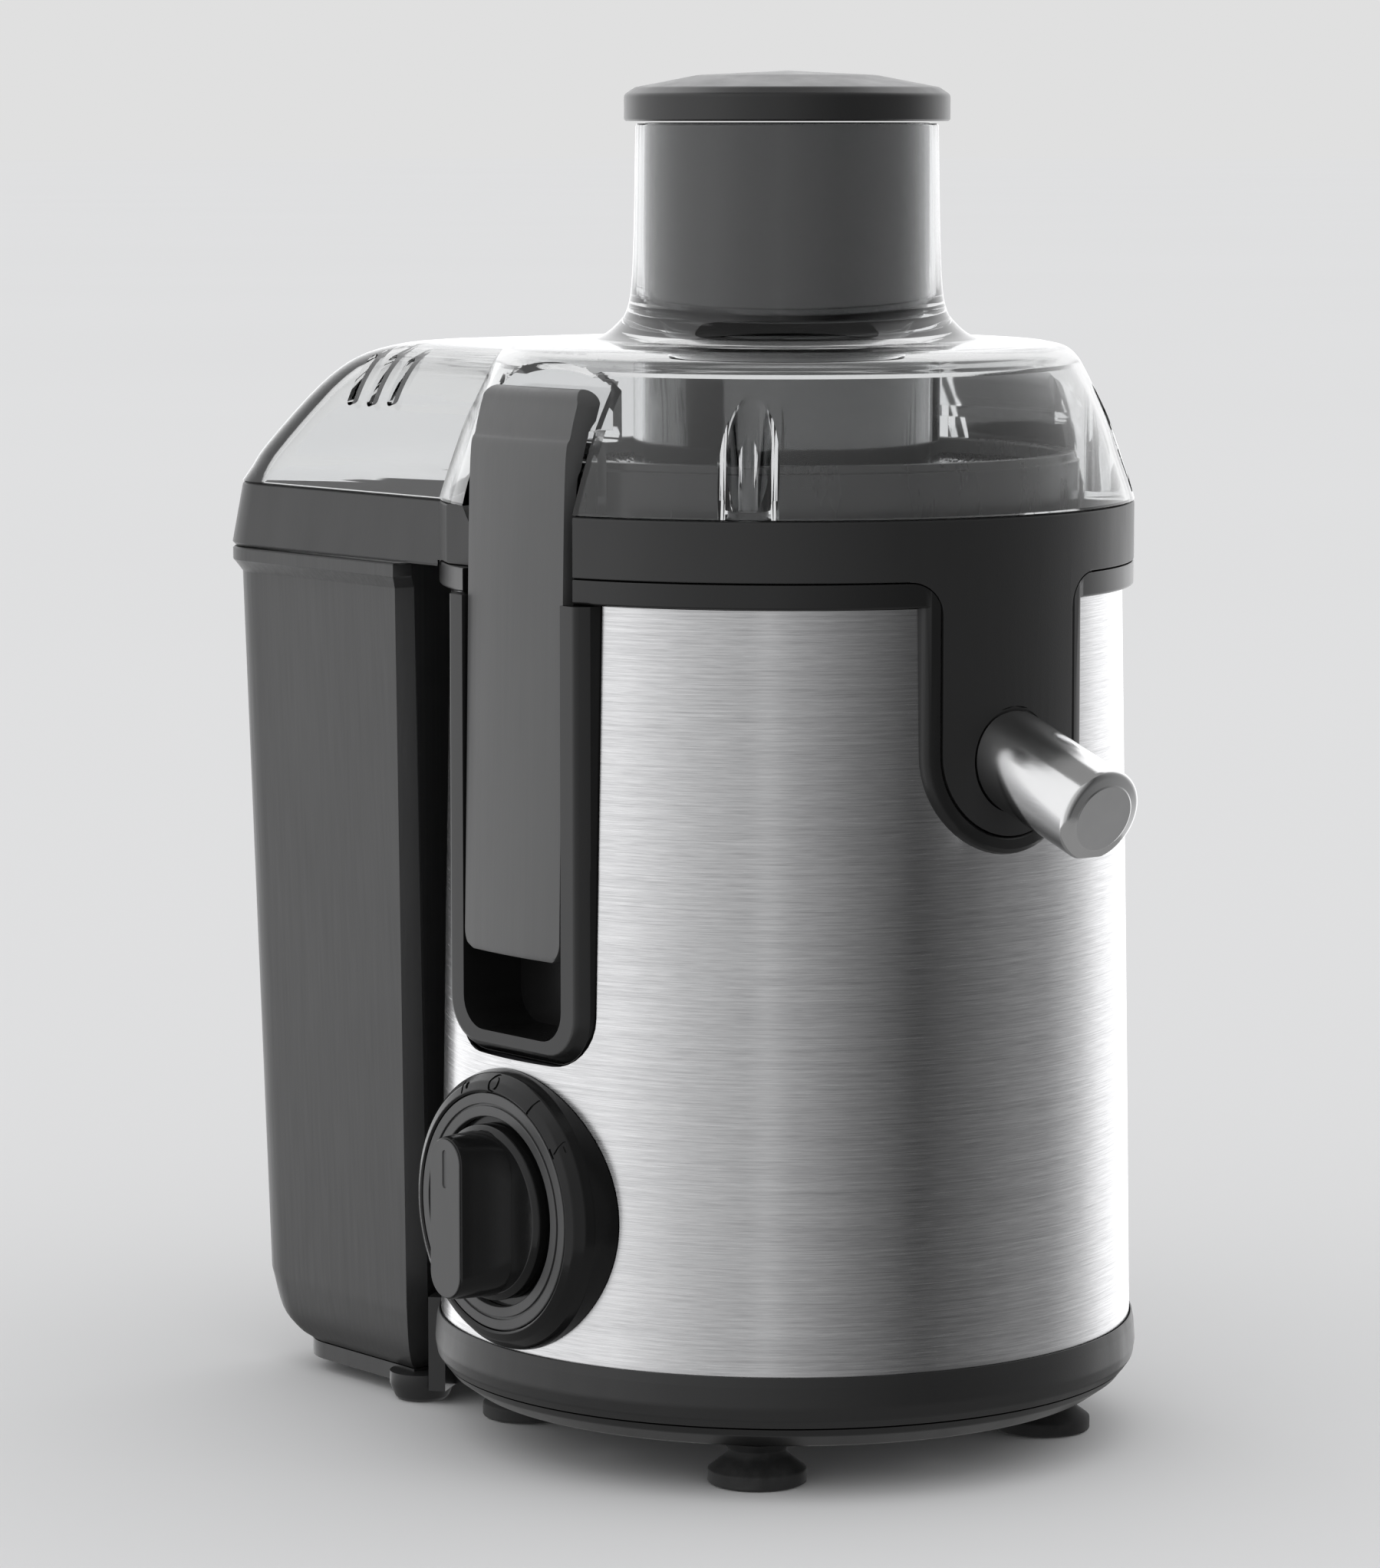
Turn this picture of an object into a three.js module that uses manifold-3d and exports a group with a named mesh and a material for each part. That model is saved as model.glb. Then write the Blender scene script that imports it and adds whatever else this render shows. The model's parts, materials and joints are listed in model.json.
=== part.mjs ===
// Centrifugal juicer with a clear lid, a round feed tube, a rear pulp container and a turning spout.
// Millimetres, +Z up. The drive axis is vertical; -Y is the front (spout), -X the side with the dial.
import * as THREE from "three";
import { mergeVertices } from "three/addons/utils/BufferGeometryUtils.js";
import Module from "manifold-3d";

const manifoldLibrary = await Module();
manifoldLibrary.setup();

// ---------- driving dimensions ----------

const GAP = 0.35; // space kept between two pieces that touch
const FINE = 32; // sides of a large turned piece
const SMALL = 14; // sides of a small turned piece
const TINY = 8; // sides of pins, screws and small bores

// base and feet
const BASE_RADIUS = 95.5;
const BASE_SPLIT_Z = 19;
const BASE_UNDERSIDE_Z = 12;
const FOOT_RADIUS = 13.4;
const FOOT_CIRCLE = 70.4;

// steel body
const SKIN_BOTTOM_Z = 30.6;
const SKIN_TOP_Z = 230.6;
const SKIN_THICKNESS = 0.8;
const SKIN_OUTLINE = [[93.9, SKIN_BOTTOM_Z], [92.3, 126], [90.3, SKIN_TOP_Z]];
const HOUSING_RADIUS = 87;
const HOUSING_WALL = 2.4;
const DECK_TOP_Z = 196;

// rings above the steel body
const RING_RADIUS = 93.4;
const TRIM_BOTTOM_Z = 231;
const TRIM_TOP_Z = 237.4;
const SEAM_Z = 253.5; // top of the juice collector, where the lid rests

// front apron of the collector and the trim frame round it
const APRON_HALF = 22;
const APRON_BOTTOM_Z = 171;
const APRON_FILLET = 9;
const FRAME_WIDTH = 5;

// spout: a turned tube on an axis that points forward and down
const SPOUT_RADIUS = 12.8;
const SPOUT_BORE = 10.2;
const SPOUT_DROOP = THREE.MathUtils.degToRad(19.3);
const SPOUT_TIP = new THREE.Vector3(0, -127.5, 178.7);
const SPOUT_LENGTH = 41;
const SPOUT_FACE_RADIUS = 8.8;
const SPOUT_CUT_Z = 168.4;

// clamp arms, one on each side
const ARM_HALF = 20.7;
const ARM_BOTTOM_Z = 137;
const ARM_PIVOT = { x: 86.4, z: 160 };
const PIN_RADIUS = 2;
const CHANNEL_HALF = 29.6;
const CHANNEL_FACE_HALF = 27;
const CHANNEL_BOTTOM_Z = 110.3;
const CHANNEL_CORNER = 14;
const CHANNEL_RIM = 6; // width of the channel's rim below its slot
const RECESS_HALF = 24;

// dial on the -X side
const DIAL_Z = 70;
const DIAL_BEZEL_RADIUS = 37.4;
const DIAL_RING_OUTER = 31.3;
const DIAL_RING_INNER = 25.1;
const DIAL_RING_FACE = 99;
const KNOB_RADIUS = 23.2;
const KNOB_REACH = 115.5;
const GRIP_WIDTH = 14;
const GRIP_HEIGHT = 43;

// lid, feed tube and pusher
const TUBE_BORE = 38.8;
const TUBE_TOP_Z = 353.6;
const TUBE_BOTTOM_Z = 228;
const PUSHER_RADIUS = 38.2;
const PUSHER_BOTTOM_Z = 236;
const CAP_RADIUS = 43.6;
const CAP_BOTTOM_Z = 354.2;
const TOTAL_HEIGHT = 367.6;
const LID_WALL = 2.4;
const NICHE_RADIUS = 5.8;
const NICHE_CIRCLE = 87.6;
const NICHE_ANGLE = 224.6; // degrees from +X, seen from above

// pulp side: chute skirt, chute cover and container
const SKIRT_BOTTOM_Z = 236;
const SKIRT_REAR = 161.2;
const SKIRT_HALF = 81;
const SKIRT_FLARE = 3;
const CHUTE_CORNER = 18;
const CONTAINER_INNER_ARC = 101.7; // concave wall that wraps the body
const CONTAINER_CORNER_ARC = 106.3; // circle on which the near corners lie
const CONTAINER_BOTTOM_Z = 9;
const CONTAINER_TOP_Z = 235.4;
const CONTAINER_WALL = 2.2;

// The part's origin is the middle of its box on the worktop, so the drive axis stands off it.
const SPOUT_FRONT = -SPOUT_TIP.y + SPOUT_FACE_RADIUS * Math.sin(SPOUT_DROOP);
const AXIS_X = (KNOB_REACH - BASE_RADIUS) / 2;
const AXIS_Y = (SPOUT_FRONT - SKIRT_REAR) / 2;

// ---------- materials ----------

function material(color, roughness, metalness, opacity = 1) {
  return new THREE.MeshStandardMaterial({ color, roughness, metalness, opacity, transparent: opacity < 1 });
}

const finish = {
  darkPlastic: material(0x36373a, 0.5, 0),
  blackPlastic: material(0x1b1b1d, 0.35, 0),
  glossBlack: material(0x141416, 0.12, 0),
  greyPlastic: material(0x5b5c5f, 0.45, 0),
  steel: material(0xb9babc, 0.3, 1),
  polished: material(0xd9d9d9, 0.1, 1),
  clear: material(0xeef2f4, 0.05, 0, 0.3),
  rubber: material(0x1a1a1b, 0.85, 0),
  iron: material(0x6d6f72, 0.5, 1),
  copper: material(0xb5652f, 0.35, 1),
  board: material(0x2f6b45, 0.6, 0),
  carbon: material(0x222222, 0.8, 0),
};

// ---------- solids ----------

// A closed geometry becomes a solid: shared corners merged, empty triangles dropped, faces outward.
function solidOf(geometry) {
  const bare = geometry.clone();
  bare.deleteAttribute("normal");
  bare.deleteAttribute("uv");
  const merged = mergeVertices(bare, 1e-4);
  const vertProperties = new Float32Array(merged.attributes.position.array);
  const corners = merged.index.array;
  const triangles = [];
  for (let k = 0; k < corners.length; k += 3) {
    const [a, b, c] = [corners[k], corners[k + 1], corners[k + 2]];
    if (a !== b && b !== c && c !== a) triangles.push([a, b, c]);
  }
  const at = (index) => new THREE.Vector3().fromArray(vertProperties, 3 * index);
  const volume = triangles.reduce((sum, [a, b, c]) => sum + at(a).dot(at(b).cross(at(c))), 0);
  const outward = volume > 0 ? triangles : triangles.map(([a, b, c]) => [a, c, b]);
  const triVerts = new Uint32Array(outward.flat());
  return new manifoldLibrary.Manifold(new manifoldLibrary.Mesh({ numProp: 3, vertProperties, triVerts }));
}

function geometryOf(solid) {
  const { vertProperties, triVerts } = solid.getMesh();
  const geometry = new THREE.BufferGeometry();
  geometry.setAttribute("position", new THREE.BufferAttribute(vertProperties, 3));
  geometry.setIndex(new THREE.BufferAttribute(triVerts, 1));
  geometry.computeVertexNormals();
  return geometry;
}

function join(...solids) {
  return solids.reduce((whole, next) => whole.add(next));
}

function cut(body, ...tools) {
  return tools.reduce((rest, tool) => rest.subtract(tool), body);
}

function moved(solid, matrix) {
  return solid.transform(matrix.elements);
}

// Turns a closed or axis-to-axis outline of [radius, z] points about the vertical axis.
function turned(outline, sides = FINE) {
  const onAxis = outline[0][0] === 0 && outline.at(-1)[0] === 0;
  const points = onAxis ? outline : [...outline, outline[0]];
  const lathe = new THREE.LatheGeometry(points.map(([r, z]) => new THREE.Vector2(r, z)), sides);
  return solidOf(lathe.rotateX(Math.PI / 2));
}

// Vertical cylinder or tube between two heights.
function cylinder(radius, low, high, sides = SMALL) {
  return turned([[0, low], [radius, low], [radius, high], [0, high]], sides);
}

function tube(outer, inner, low, high, sides = SMALL) {
  return turned([[inner, low], [outer, low], [outer, high], [inner, high]], sides);
}

// Carries a solid made about the vertical axis to a place with its axis along a direction.
function alongDirection(solid, direction, place) {
  const turn = new THREE.Quaternion().setFromUnitVectors(new THREE.Vector3(0, 0, 1), direction);
  return moved(solid, new THREE.Matrix4().compose(place, turn, new THREE.Vector3(1, 1, 1)));
}

function box([x0, x1], [y0, y1], [z0, z1]) {
  const geometry = new THREE.BoxGeometry(x1 - x0, y1 - y0, z1 - z0);
  return solidOf(geometry.translate((x0 + x1) / 2, (y0 + y1) / 2, (z0 + z1) / 2));
}

// Extrudes a shape of (x, y), (x, z) or (y, z) points along the remaining axis.
function prismZ(shape, low, high, curveSegments = 5) {
  const geometry = new THREE.ExtrudeGeometry(shape, { depth: high - low, bevelEnabled: false, curveSegments });
  return solidOf(geometry.translate(0, 0, low));
}

function prismY(shape, low, high, curveSegments = 5) {
  const geometry = new THREE.ExtrudeGeometry(shape, { depth: high - low, bevelEnabled: false, curveSegments });
  return solidOf(geometry.rotateX(Math.PI / 2).translate(0, high, 0));
}

function prismX(shape, low, high, curveSegments = 5) {
  const geometry = new THREE.ExtrudeGeometry(shape, { depth: high - low, bevelEnabled: false, curveSegments });
  const axes = new THREE.Matrix4().makeBasis(
    new THREE.Vector3(0, 1, 0), new THREE.Vector3(0, 0, 1), new THREE.Vector3(1, 0, 0));
  return solidOf(geometry.applyMatrix4(axes).translate(low, 0, 0));
}

// Skins a stack of level outlines, each { z, points } with the same number of points.
function lofted(levels) {
  const count = levels[0].points.length;
  const positions = levels.flatMap(({ z, points }) => points.flatMap((p) => [p.x, p.y, z]));
  const faces = [];
  for (let level = 0; level + 1 < levels.length; level += 1) {
    for (let k = 0; k < count; k += 1) {
      const next = (k + 1) % count;
      const low = level * count;
      const high = low + count;
      faces.push(low + k, low + next, high + next, low + k, high + next, high + k);
    }
  }
  const top = (levels.length - 1) * count;
  for (const [a, b, c] of THREE.ShapeUtils.triangulateShape(levels[0].points, [])) faces.push(a, c, b);
  for (const [a, b, c] of THREE.ShapeUtils.triangulateShape(levels.at(-1).points, [])) {
    faces.push(top + a, top + b, top + c);
  }
  const geometry = new THREE.BufferGeometry();
  geometry.setAttribute("position", new THREE.Float32BufferAttribute(positions, 3));
  geometry.setIndex(faces);
  return solidOf(geometry);
}

function polygon(points) {
  return new THREE.Shape(points.map(([a, b]) => new THREE.Vector2(a, b)));
}

// Rectangle with all four corners rounded.
function roundedRectangle([a0, a1], [b0, b1], radius) {
  const shape = new THREE.Shape();
  shape.moveTo(a0 + radius, b0);
  shape.absarc(a1 - radius, b0 + radius, radius, -Math.PI / 2, 0);
  shape.absarc(a1 - radius, b1 - radius, radius, 0, Math.PI / 2);
  shape.absarc(a0 + radius, b1 - radius, radius, Math.PI / 2, Math.PI);
  shape.absarc(a0 + radius, b0 + radius, radius, Math.PI, 1.5 * Math.PI);
  return shape;
}

// ---------- the group that the pieces go into ----------

const juicer = new THREE.Group();
const machine = new THREE.Group();
machine.position.set(AXIS_X, AXIS_Y, 0);
juicer.add(machine);

function addPiece(name, solid, look) {
  const mesh = new THREE.Mesh(geometryOf(solid), look);
  mesh.name = name;
  machine.add(mesh);
}

// The two sides of the machine: "left" is the -X side with the dial.
const SIDES = [{ name: "left", sign: -1 }, { name: "right", sign: 1 }];

function mirroredTo(sign, solid) {
  return sign < 0 ? solid : solid.mirror([1, 0, 0]);
}

// ---------- base ----------

function baseShell() {
  return turned([
    [89.6, BASE_SPLIT_Z + GAP], [93.2, BASE_SPLIT_Z + GAP], [94.8, 21.5], [BASE_RADIUS, 24.3], [95.4, 27.5],
    [95, 30.7], [94.5, 32.8], [94.25, 32.8], [94.25, 30.2], [92.6, 30.2], [92.6, 36], [89.6, 36],
  ]);
}

function basePlate() {
  const dish = turned([
    [0, BASE_UNDERSIDE_Z], [80, BASE_UNDERSIDE_Z], [85, 12.7], [89, 14.7], [91.6, 17.4], [92.9, BASE_SPLIT_Z],
    [89.2, BASE_SPLIT_Z], [89.2, 26], [86.4, 26], [86.4, 18.5], [80, 14.5], [0, 14.5],
  ]);
  const slots = [];
  for (let k = 0; k < 8; k += 1) {
    const slot = box([24, 44], [-2, 2], [BASE_UNDERSIDE_Z - 1, 16]);
    slots.push(slot.rotate([0, 0, 22.5 + 45 * k]));
  }
  const cordHole = box([-7, 7], [82, 100], [13, 22]);
  return cut(dish, ...slots, cordHole);
}

// Round rubber foot: a flat pad, a cone and a shallow cup under the base.
function foot() {
  return turned([
    [0, 0], [12.8, 0], [FOOT_RADIUS, 0.7], [FOOT_RADIUS, 3.6], [7.4, 8.6], [9.7, BASE_UNDERSIDE_Z - GAP],
    [0, BASE_UNDERSIDE_Z - GAP],
  ], SMALL);
}

function addFeet() {
  for (const [name, angle] of [["front_left", 225], ["front_right", 315], ["rear_right", 45], ["rear_left", 135]]) {
    const turn = THREE.MathUtils.degToRad(angle);
    const place = [FOOT_CIRCLE * Math.cos(turn), FOOT_CIRCLE * Math.sin(turn), 0];
    addPiece(`foot_${name}`, foot().translate(place), finish.rubber);
  }
}

function addBaseScrews() {
  for (const [name, angle] of [["front", 270], ["right", 0], ["rear", 90], ["left", 180]]) {
    const turn = THREE.MathUtils.degToRad(angle);
    const screw = turned([[0, 8.8], [3.6, 8.8], [3.9, 9.4], [3.9, 11.2], [0, BASE_UNDERSIDE_Z - GAP]], TINY);
    const place = [62 * Math.cos(turn), 62 * Math.sin(turn), 0];
    addPiece(`base_screw_${name}`, screw.translate(place), finish.steel);
  }
}

// ---------- pulp side outlines ----------

// Plan outline of the container: flat sides, rounded rear corners, concave front that wraps the body.
function containerOutline(half, rear, corner, inset = 0) {
  const nearY = Math.sqrt(CONTAINER_CORNER_ARC ** 2 - half ** 2) + inset;
  const arc = CONTAINER_INNER_ARC + inset;
  const side = half - inset;
  const back = rear - inset;
  const radius = corner - inset;
  const arcStart = Math.acos(nearY / arc);
  const path = new THREE.Path();
  path.moveTo(side, nearY);
  path.lineTo(side, back - radius);
  path.absarc(side - radius, back - radius, radius, 0, Math.PI / 2);
  path.absarc(-side + radius, back - radius, radius, Math.PI / 2, Math.PI);
  path.lineTo(-side, nearY);
  path.absarc(0, 0, arc, Math.PI / 2 + arcStart, Math.PI / 2 - arcStart, true);
  return path.getPoints(3);
}

// Plan outline of the chute: flat sides from inside the body back to rounded rear corners.
function chuteOutline(half, rear, corner, front = 0) {
  const path = new THREE.Path();
  path.moveTo(half, front);
  path.lineTo(half, rear - corner);
  path.absarc(half - corner, rear - corner, corner, 0, Math.PI / 2);
  path.absarc(-half + corner, rear - corner, corner, Math.PI / 2, Math.PI);
  path.lineTo(-half, front);
  return path.getPoints(4);
}

// The container's side, rear face and how far its rounded bottom pulls in, at a height.
const CONTAINER_LEVELS = [
  { z: CONTAINER_BOTTOM_Z, half: 64, rear: 147.5 },
  { z: 11.5, half: 66.2, rear: 151.5 },
  { z: 17, half: 68.3, rear: 156 },
  { z: 28, half: 69.8, rear: 159 },
  { z: CONTAINER_TOP_Z - 7, half: 78, rear: 158.6 },
];

function containerSolid() {
  const lip = { half: 80.9, rear: SKIRT_REAR, corner: 21 };
  const outer = lofted(CONTAINER_LEVELS.map(({ z, half, rear }) => (
    { z, points: containerOutline(half, rear, CHUTE_CORNER) })));
  const rim = prismZ(new THREE.Shape(containerOutline(lip.half, lip.rear, lip.corner)),
    CONTAINER_TOP_Z - 4, CONTAINER_TOP_Z);
  const neck = lofted([
    { z: CONTAINER_TOP_Z - 7, points: containerOutline(78, 158.6, CHUTE_CORNER) },
    { z: CONTAINER_TOP_Z - 3.9, points: containerOutline(80.7, SKIRT_REAR - 0.2, 20.9) },
  ]);
  const hollow = lofted([
    { z: CONTAINER_BOTTOM_Z + CONTAINER_WALL, points: containerOutline(64, 147.5, CHUTE_CORNER, CONTAINER_WALL) },
    { z: 17 + CONTAINER_WALL, points: containerOutline(68.3, 156, CHUTE_CORNER, CONTAINER_WALL) },
    { z: 30, points: containerOutline(69.9, 159, CHUTE_CORNER, CONTAINER_WALL) },
    { z: CONTAINER_TOP_Z + 1, points: containerOutline(78, 158.6, CHUTE_CORNER, CONTAINER_WALL) },
  ]);
  return cut(join(outer, neck, rim), hollow);
}

// Cradle under the container: a plate, an upstand round the base, two legs to the worktop.
function containerCradle() {
  const plate = prismZ(new THREE.Shape(containerOutline(64, 147, CHUTE_CORNER)), 4, CONTAINER_BOTTOM_Z - GAP);
  const sector = new THREE.Shape();
  const halfAngle = THREE.MathUtils.degToRad(40);
  sector.absarc(0, 0, 100.6, Math.PI / 2 - halfAngle, Math.PI / 2 + halfAngle);
  sector.absarc(0, 0, BASE_RADIUS + GAP, Math.PI / 2 + halfAngle, Math.PI / 2 - halfAngle, true);
  const upstand = prismZ(sector, 4, 30.5, 10);
  const bridgeAngle = THREE.MathUtils.degToRad(34);
  const bridge = new THREE.Shape();
  bridge.absarc(0, 0, 103, Math.PI / 2 - bridgeAngle, Math.PI / 2 + bridgeAngle);
  bridge.absarc(0, 0, 78, Math.PI / 2 + bridgeAngle, Math.PI / 2 - bridgeAngle, true);
  const tongue = prismZ(bridge, 4, CONTAINER_BOTTOM_Z - GAP, 10);
  const legs = SIDES.map(({ sign }) => turned([
    [0, 0], [6.5, 0], [7.5, 1], [9, 4.5], [9, 8], [0, 8],
  ], TINY).translate([sign * 60.5, 86, 0]));
  const clearFeet = [45, 135].map((angle) => {
    const turn = THREE.MathUtils.degToRad(angle);
    return cylinder(FOOT_RADIUS + 1, -1, 12, SMALL).translate(
      [FOOT_CIRCLE * Math.cos(turn), FOOT_CIRCLE * Math.sin(turn), 0]);
  });
  return cut(join(plate, upstand, tongue, ...legs), ...clearFeet);
}

function cordGland() {
  const collar = prismY(roundedRectangle([-6.6, 6.6], [14.6, 18.8], 1.6), 85.9, 94.5, 2);
  const flange = box([-6.6, 6.6], [83, 86], [14.9, 21.8]);
  return cut(join(collar, flange), prismY(roundedRectangle([-3.2, 3.2], [15.5, 18], 1.1), 80, 96, 2));
}

// ---------- steel body and inner housing ----------

// U-shaped outline in (x, z), open upward: the apron or its frame, with a full round at the bottom.
function apronOutline(half, bottom, top) {
  const shape = new THREE.Shape();
  shape.moveTo(half, top);
  shape.lineTo(-half, top);
  shape.absarc(0, bottom + half, half, Math.PI, 2 * Math.PI);
  return shape;
}

// The space that a clamp channel takes out of the body on one side.
function channelNotch(sign, depth, extra) {
  const half = CHANNEL_HALF + extra;
  const outline = roundedRectangle([-half, half], [CHANNEL_BOTTOM_Z - extra, 400], CHANNEL_CORNER);
  return sign < 0 ? prismX(outline, -120, -depth, 8) : prismX(outline, depth, 120, 8);
}

function steelSkin() {
  const inside = SKIN_OUTLINE.map(([r, z]) => [r - SKIN_THICKNESS, z]).reverse();
  const shell = turned([...SKIN_OUTLINE, ...inside]);
  const frontNotch = prismY(apronOutline(APRON_HALF + 2.3, APRON_BOTTOM_Z - 2.3, 260), -120, -60);
  const dialHole = prismX(new THREE.Shape().absarc(0, DIAL_Z, 7, 0, 2 * Math.PI), -120, -60);
  const notches = SIDES.map(({ sign }) => channelNotch(sign, 60, 0.4));
  return cut(shell, frontNotch, dialHole, ...notches);
}

function motorHousing() {
  const inner = HOUSING_RADIUS - HOUSING_WALL;
  const shell = turned([
    [HOUSING_RADIUS, 36.6], [HOUSING_RADIUS, DECK_TOP_Z], [26, DECK_TOP_Z], [24, 197.5], [15, 197.5], [15, 192],
    [22, 190], [inner, 192.5], [inner, 36.6],
  ]);
  const frontNotch = box([-26, 26], [-120, -58], [165, 260]);
  const dialHole = prismX(new THREE.Shape().absarc(0, DIAL_Z, 5, 0, 2 * Math.PI), -120, -60);
  const notches = SIDES.map(({ sign }) => channelNotch(sign, 68, 1.2));
  return cut(shell, frontNotch, dialHole, ...notches);
}

// Black ring on top of the steel, with the frame that runs down round the apron.
function trimRing() {
  const ring = tube(RING_RADIUS, 89.2, TRIM_BOTTOM_Z, TRIM_TOP_Z, FINE);
  const outline = apronOutline(APRON_HALF + FRAME_WIDTH, APRON_BOTTOM_Z - FRAME_WIDTH - 1, TRIM_TOP_Z);
  const frameBlank = prismY(outline, -100, -60, 10);
  const frameShell = tube(RING_RADIUS, 88, 160, TRIM_TOP_Z, FINE);
  const skinSolid = turned([
    [0, SKIN_BOTTOM_Z], ...SKIN_OUTLINE.map(([r, z]) => [r + GAP, z]), [90.3 + GAP, TRIM_BOTTOM_Z],
    [0, TRIM_BOTTOM_Z],
  ]);
  const inNotch = prismY(apronOutline(APRON_HALF + 1.9, APRON_BOTTOM_Z - 1.9, 260), -120, -60, 10);
  const frame = cut(frameBlank.intersect(frameShell), cut(skinSolid, inNotch));
  const apronSpace = prismY(apronSpaceOutline(GAP), -120, -60, 9);
  const recesses = SIDES.map(({ sign }) => armRecess(sign, TRIM_BOTTOM_Z - 1, TRIM_TOP_Z + 1, 84.5));
  return cut(join(ring, frame), apronSpace, ...recesses);
}

// The arm recesses part the ring, so it is made as a front and a rear half.
function trimHalf(sign) {
  return trimRing().intersect(box([-120, 120], sign < 0 ? [-120, 0] : [0, 120], [100, 260]));
}

// Apron outline in (x, z) with fillets where it runs into the ring above.
function apronSpaceOutline(grow) {
  const half = APRON_HALF + grow;
  const bottom = APRON_BOTTOM_Z - grow;
  const fillet = APRON_FILLET - grow;
  const ringZ = TRIM_TOP_Z + GAP - grow;
  const shape = new THREE.Shape();
  shape.moveTo(half + fillet, ringZ + 3);
  shape.lineTo(-half - fillet, ringZ + 3);
  shape.lineTo(-half - fillet, ringZ);
  shape.absarc(-half - fillet, ringZ - fillet, fillet, Math.PI / 2, 0, true);
  shape.absarc(0, bottom + half, half, Math.PI, 2 * Math.PI);
  shape.absarc(half + fillet, ringZ - fillet, fillet, Math.PI, Math.PI / 2, true);
  return shape;
}

// Box that leaves room for a clamp arm in the rings and the lid, beyond |x| = depth.
function armRecess(sign, low, high, depth) {
  return mirroredTo(sign, box([-130, -depth], [-RECESS_HALF, RECESS_HALF], [low, high]));
}

// ---------- clamp arms and their channels ----------

function clampChannel(sign) {
  const plan = roundedRectangle([-CHANNEL_HALF, CHANNEL_HALF], [CHANNEL_BOTTOM_Z, 176], CHANNEL_CORNER);
  const body = prismX(plan, -89, -69, 8);
  const face = lofted([
    { z: 84.6, half: CHANNEL_HALF }, { z: 88.9, half: CHANNEL_HALF }, { z: 92.4, half: CHANNEL_FACE_HALF },
  ].map(({ z, half }) => {
    const grow = CHANNEL_HALF - half;
    const outline = roundedRectangle([-half, half], [CHANNEL_BOTTOM_Z + grow, 260 - grow], CHANNEL_CORNER - grow);
    const points = outline.getPoints(3).slice(0, -1);
    return { z, points };
  }));
  // the loft rises along its own z, so lay it over: its z runs outward along -X
  const laid = moved(face, new THREE.Matrix4().makeBasis(
    new THREE.Vector3(0, 1, 0), new THREE.Vector3(0, 0, 1), new THREE.Vector3(-1, 0, 0)));
  const top = box([-120, 0], [-60, 60], [SKIN_TOP_Z, 300]);
  const floor = CHANNEL_BOTTOM_Z + CHANNEL_RIM;
  const slot = prismX(roundedRectangle([-21.4, 21.4], [floor, 300], 8.5), -120, -86.9, 6);
  const pocket = prismX(roundedRectangle([-21.4, 21.4], [floor, 173], 8.5), -120, -73.5, 6);
  const pinHole = cylinderY(PIN_RADIUS + GAP, -28, 28, ARM_PIVOT, TINY);
  const whole = cut(join(body, laid), top, slot, pocket, pinHole);
  return mirroredTo(sign, whole);
}

// Cylinder along Y on the -X side, through the point { x, z } given with x as a distance.
function cylinderY(radius, low, high, { x, z }, sides = TINY) {
  const shape = new THREE.Shape().absarc(-x, z, radius, 0, 2 * Math.PI);
  return prismY(shape, low, high, sides / 2);
}

// Side profile of an arm in (x, z) on the -X side: straight, then leaning in to a rounded hook.
function armProfile() {
  const shape = new THREE.Shape();
  shape.moveTo(-93.6, ARM_BOTTOM_Z + 1);
  shape.lineTo(-91.4, 267);
  shape.lineTo(-87.3, 282);
  shape.absarc(-83.2, 281.8, 4, 0.95 * Math.PI, -0.1 * Math.PI, true);
  shape.lineTo(-81.2, 277.6);
  shape.lineTo(-83.4, 275.2);
  shape.lineTo(-85.9, 266);
  shape.lineTo(-88, 256);
  shape.lineTo(-89.4, 170);
  shape.lineTo(-88.6, 150);
  shape.lineTo(-89.6, ARM_BOTTOM_Z + 1);
  shape.lineTo(-91, ARM_BOTTOM_Z);
  shape.lineTo(-92.6, ARM_BOTTOM_Z);
  return shape;
}

function clampArm(sign) {
  const side = prismY(armProfile(), -ARM_HALF, ARM_HALF, 6);
  const front = prismX(roundedRectangle([-ARM_HALF, ARM_HALF], [ARM_BOTTOM_Z, 286.5], 5), -120, -70, 6);
  const knuckle = cylinderY(4.6, -16, 16, ARM_PIVOT);
  const web = box([-90, -ARM_PIVOT.x], [-16, 16], [ARM_PIVOT.z - 4, ARM_PIVOT.z + 4]);
  const bore = cylinderY(PIN_RADIUS + GAP, -30, 30, ARM_PIVOT);
  return mirroredTo(sign, cut(join(side.intersect(front), knuckle, web), bore));
}

function pivotPin(sign) {
  return mirroredTo(sign, cylinderY(PIN_RADIUS, -26, 26, ARM_PIVOT));
}

// ---------- motor ----------

const MOTOR = {
  shaftRadius: 4,
  shaft: [50, 203],
  lowerBearing: [56, 63],
  upperBearing: [172, 179],
  bearingRadius: 11,
  core: [92, 132],
  coreRadius: 21,
  statorRadius: 42,
  commutator: [70, 84],
  commutatorRadius: 12,
  fan: [150, 160],
  fanRadius: 38,
};

function stator() {
  const [low, high] = MOTOR.core;
  const ring = prismZ(roundedRectangle([-MOTOR.statorRadius, MOTOR.statorRadius], [-38, 38], 14), low, high);
  return cut(ring, cylinder(MOTOR.coreRadius + 1.2, low - 1, high + 1),
    ...[-1, 1].map((side) => box([-22, 22], [side * 29 - 3.5, side * 29 + 3.5], [low - 1, high + 1])));
}

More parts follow.
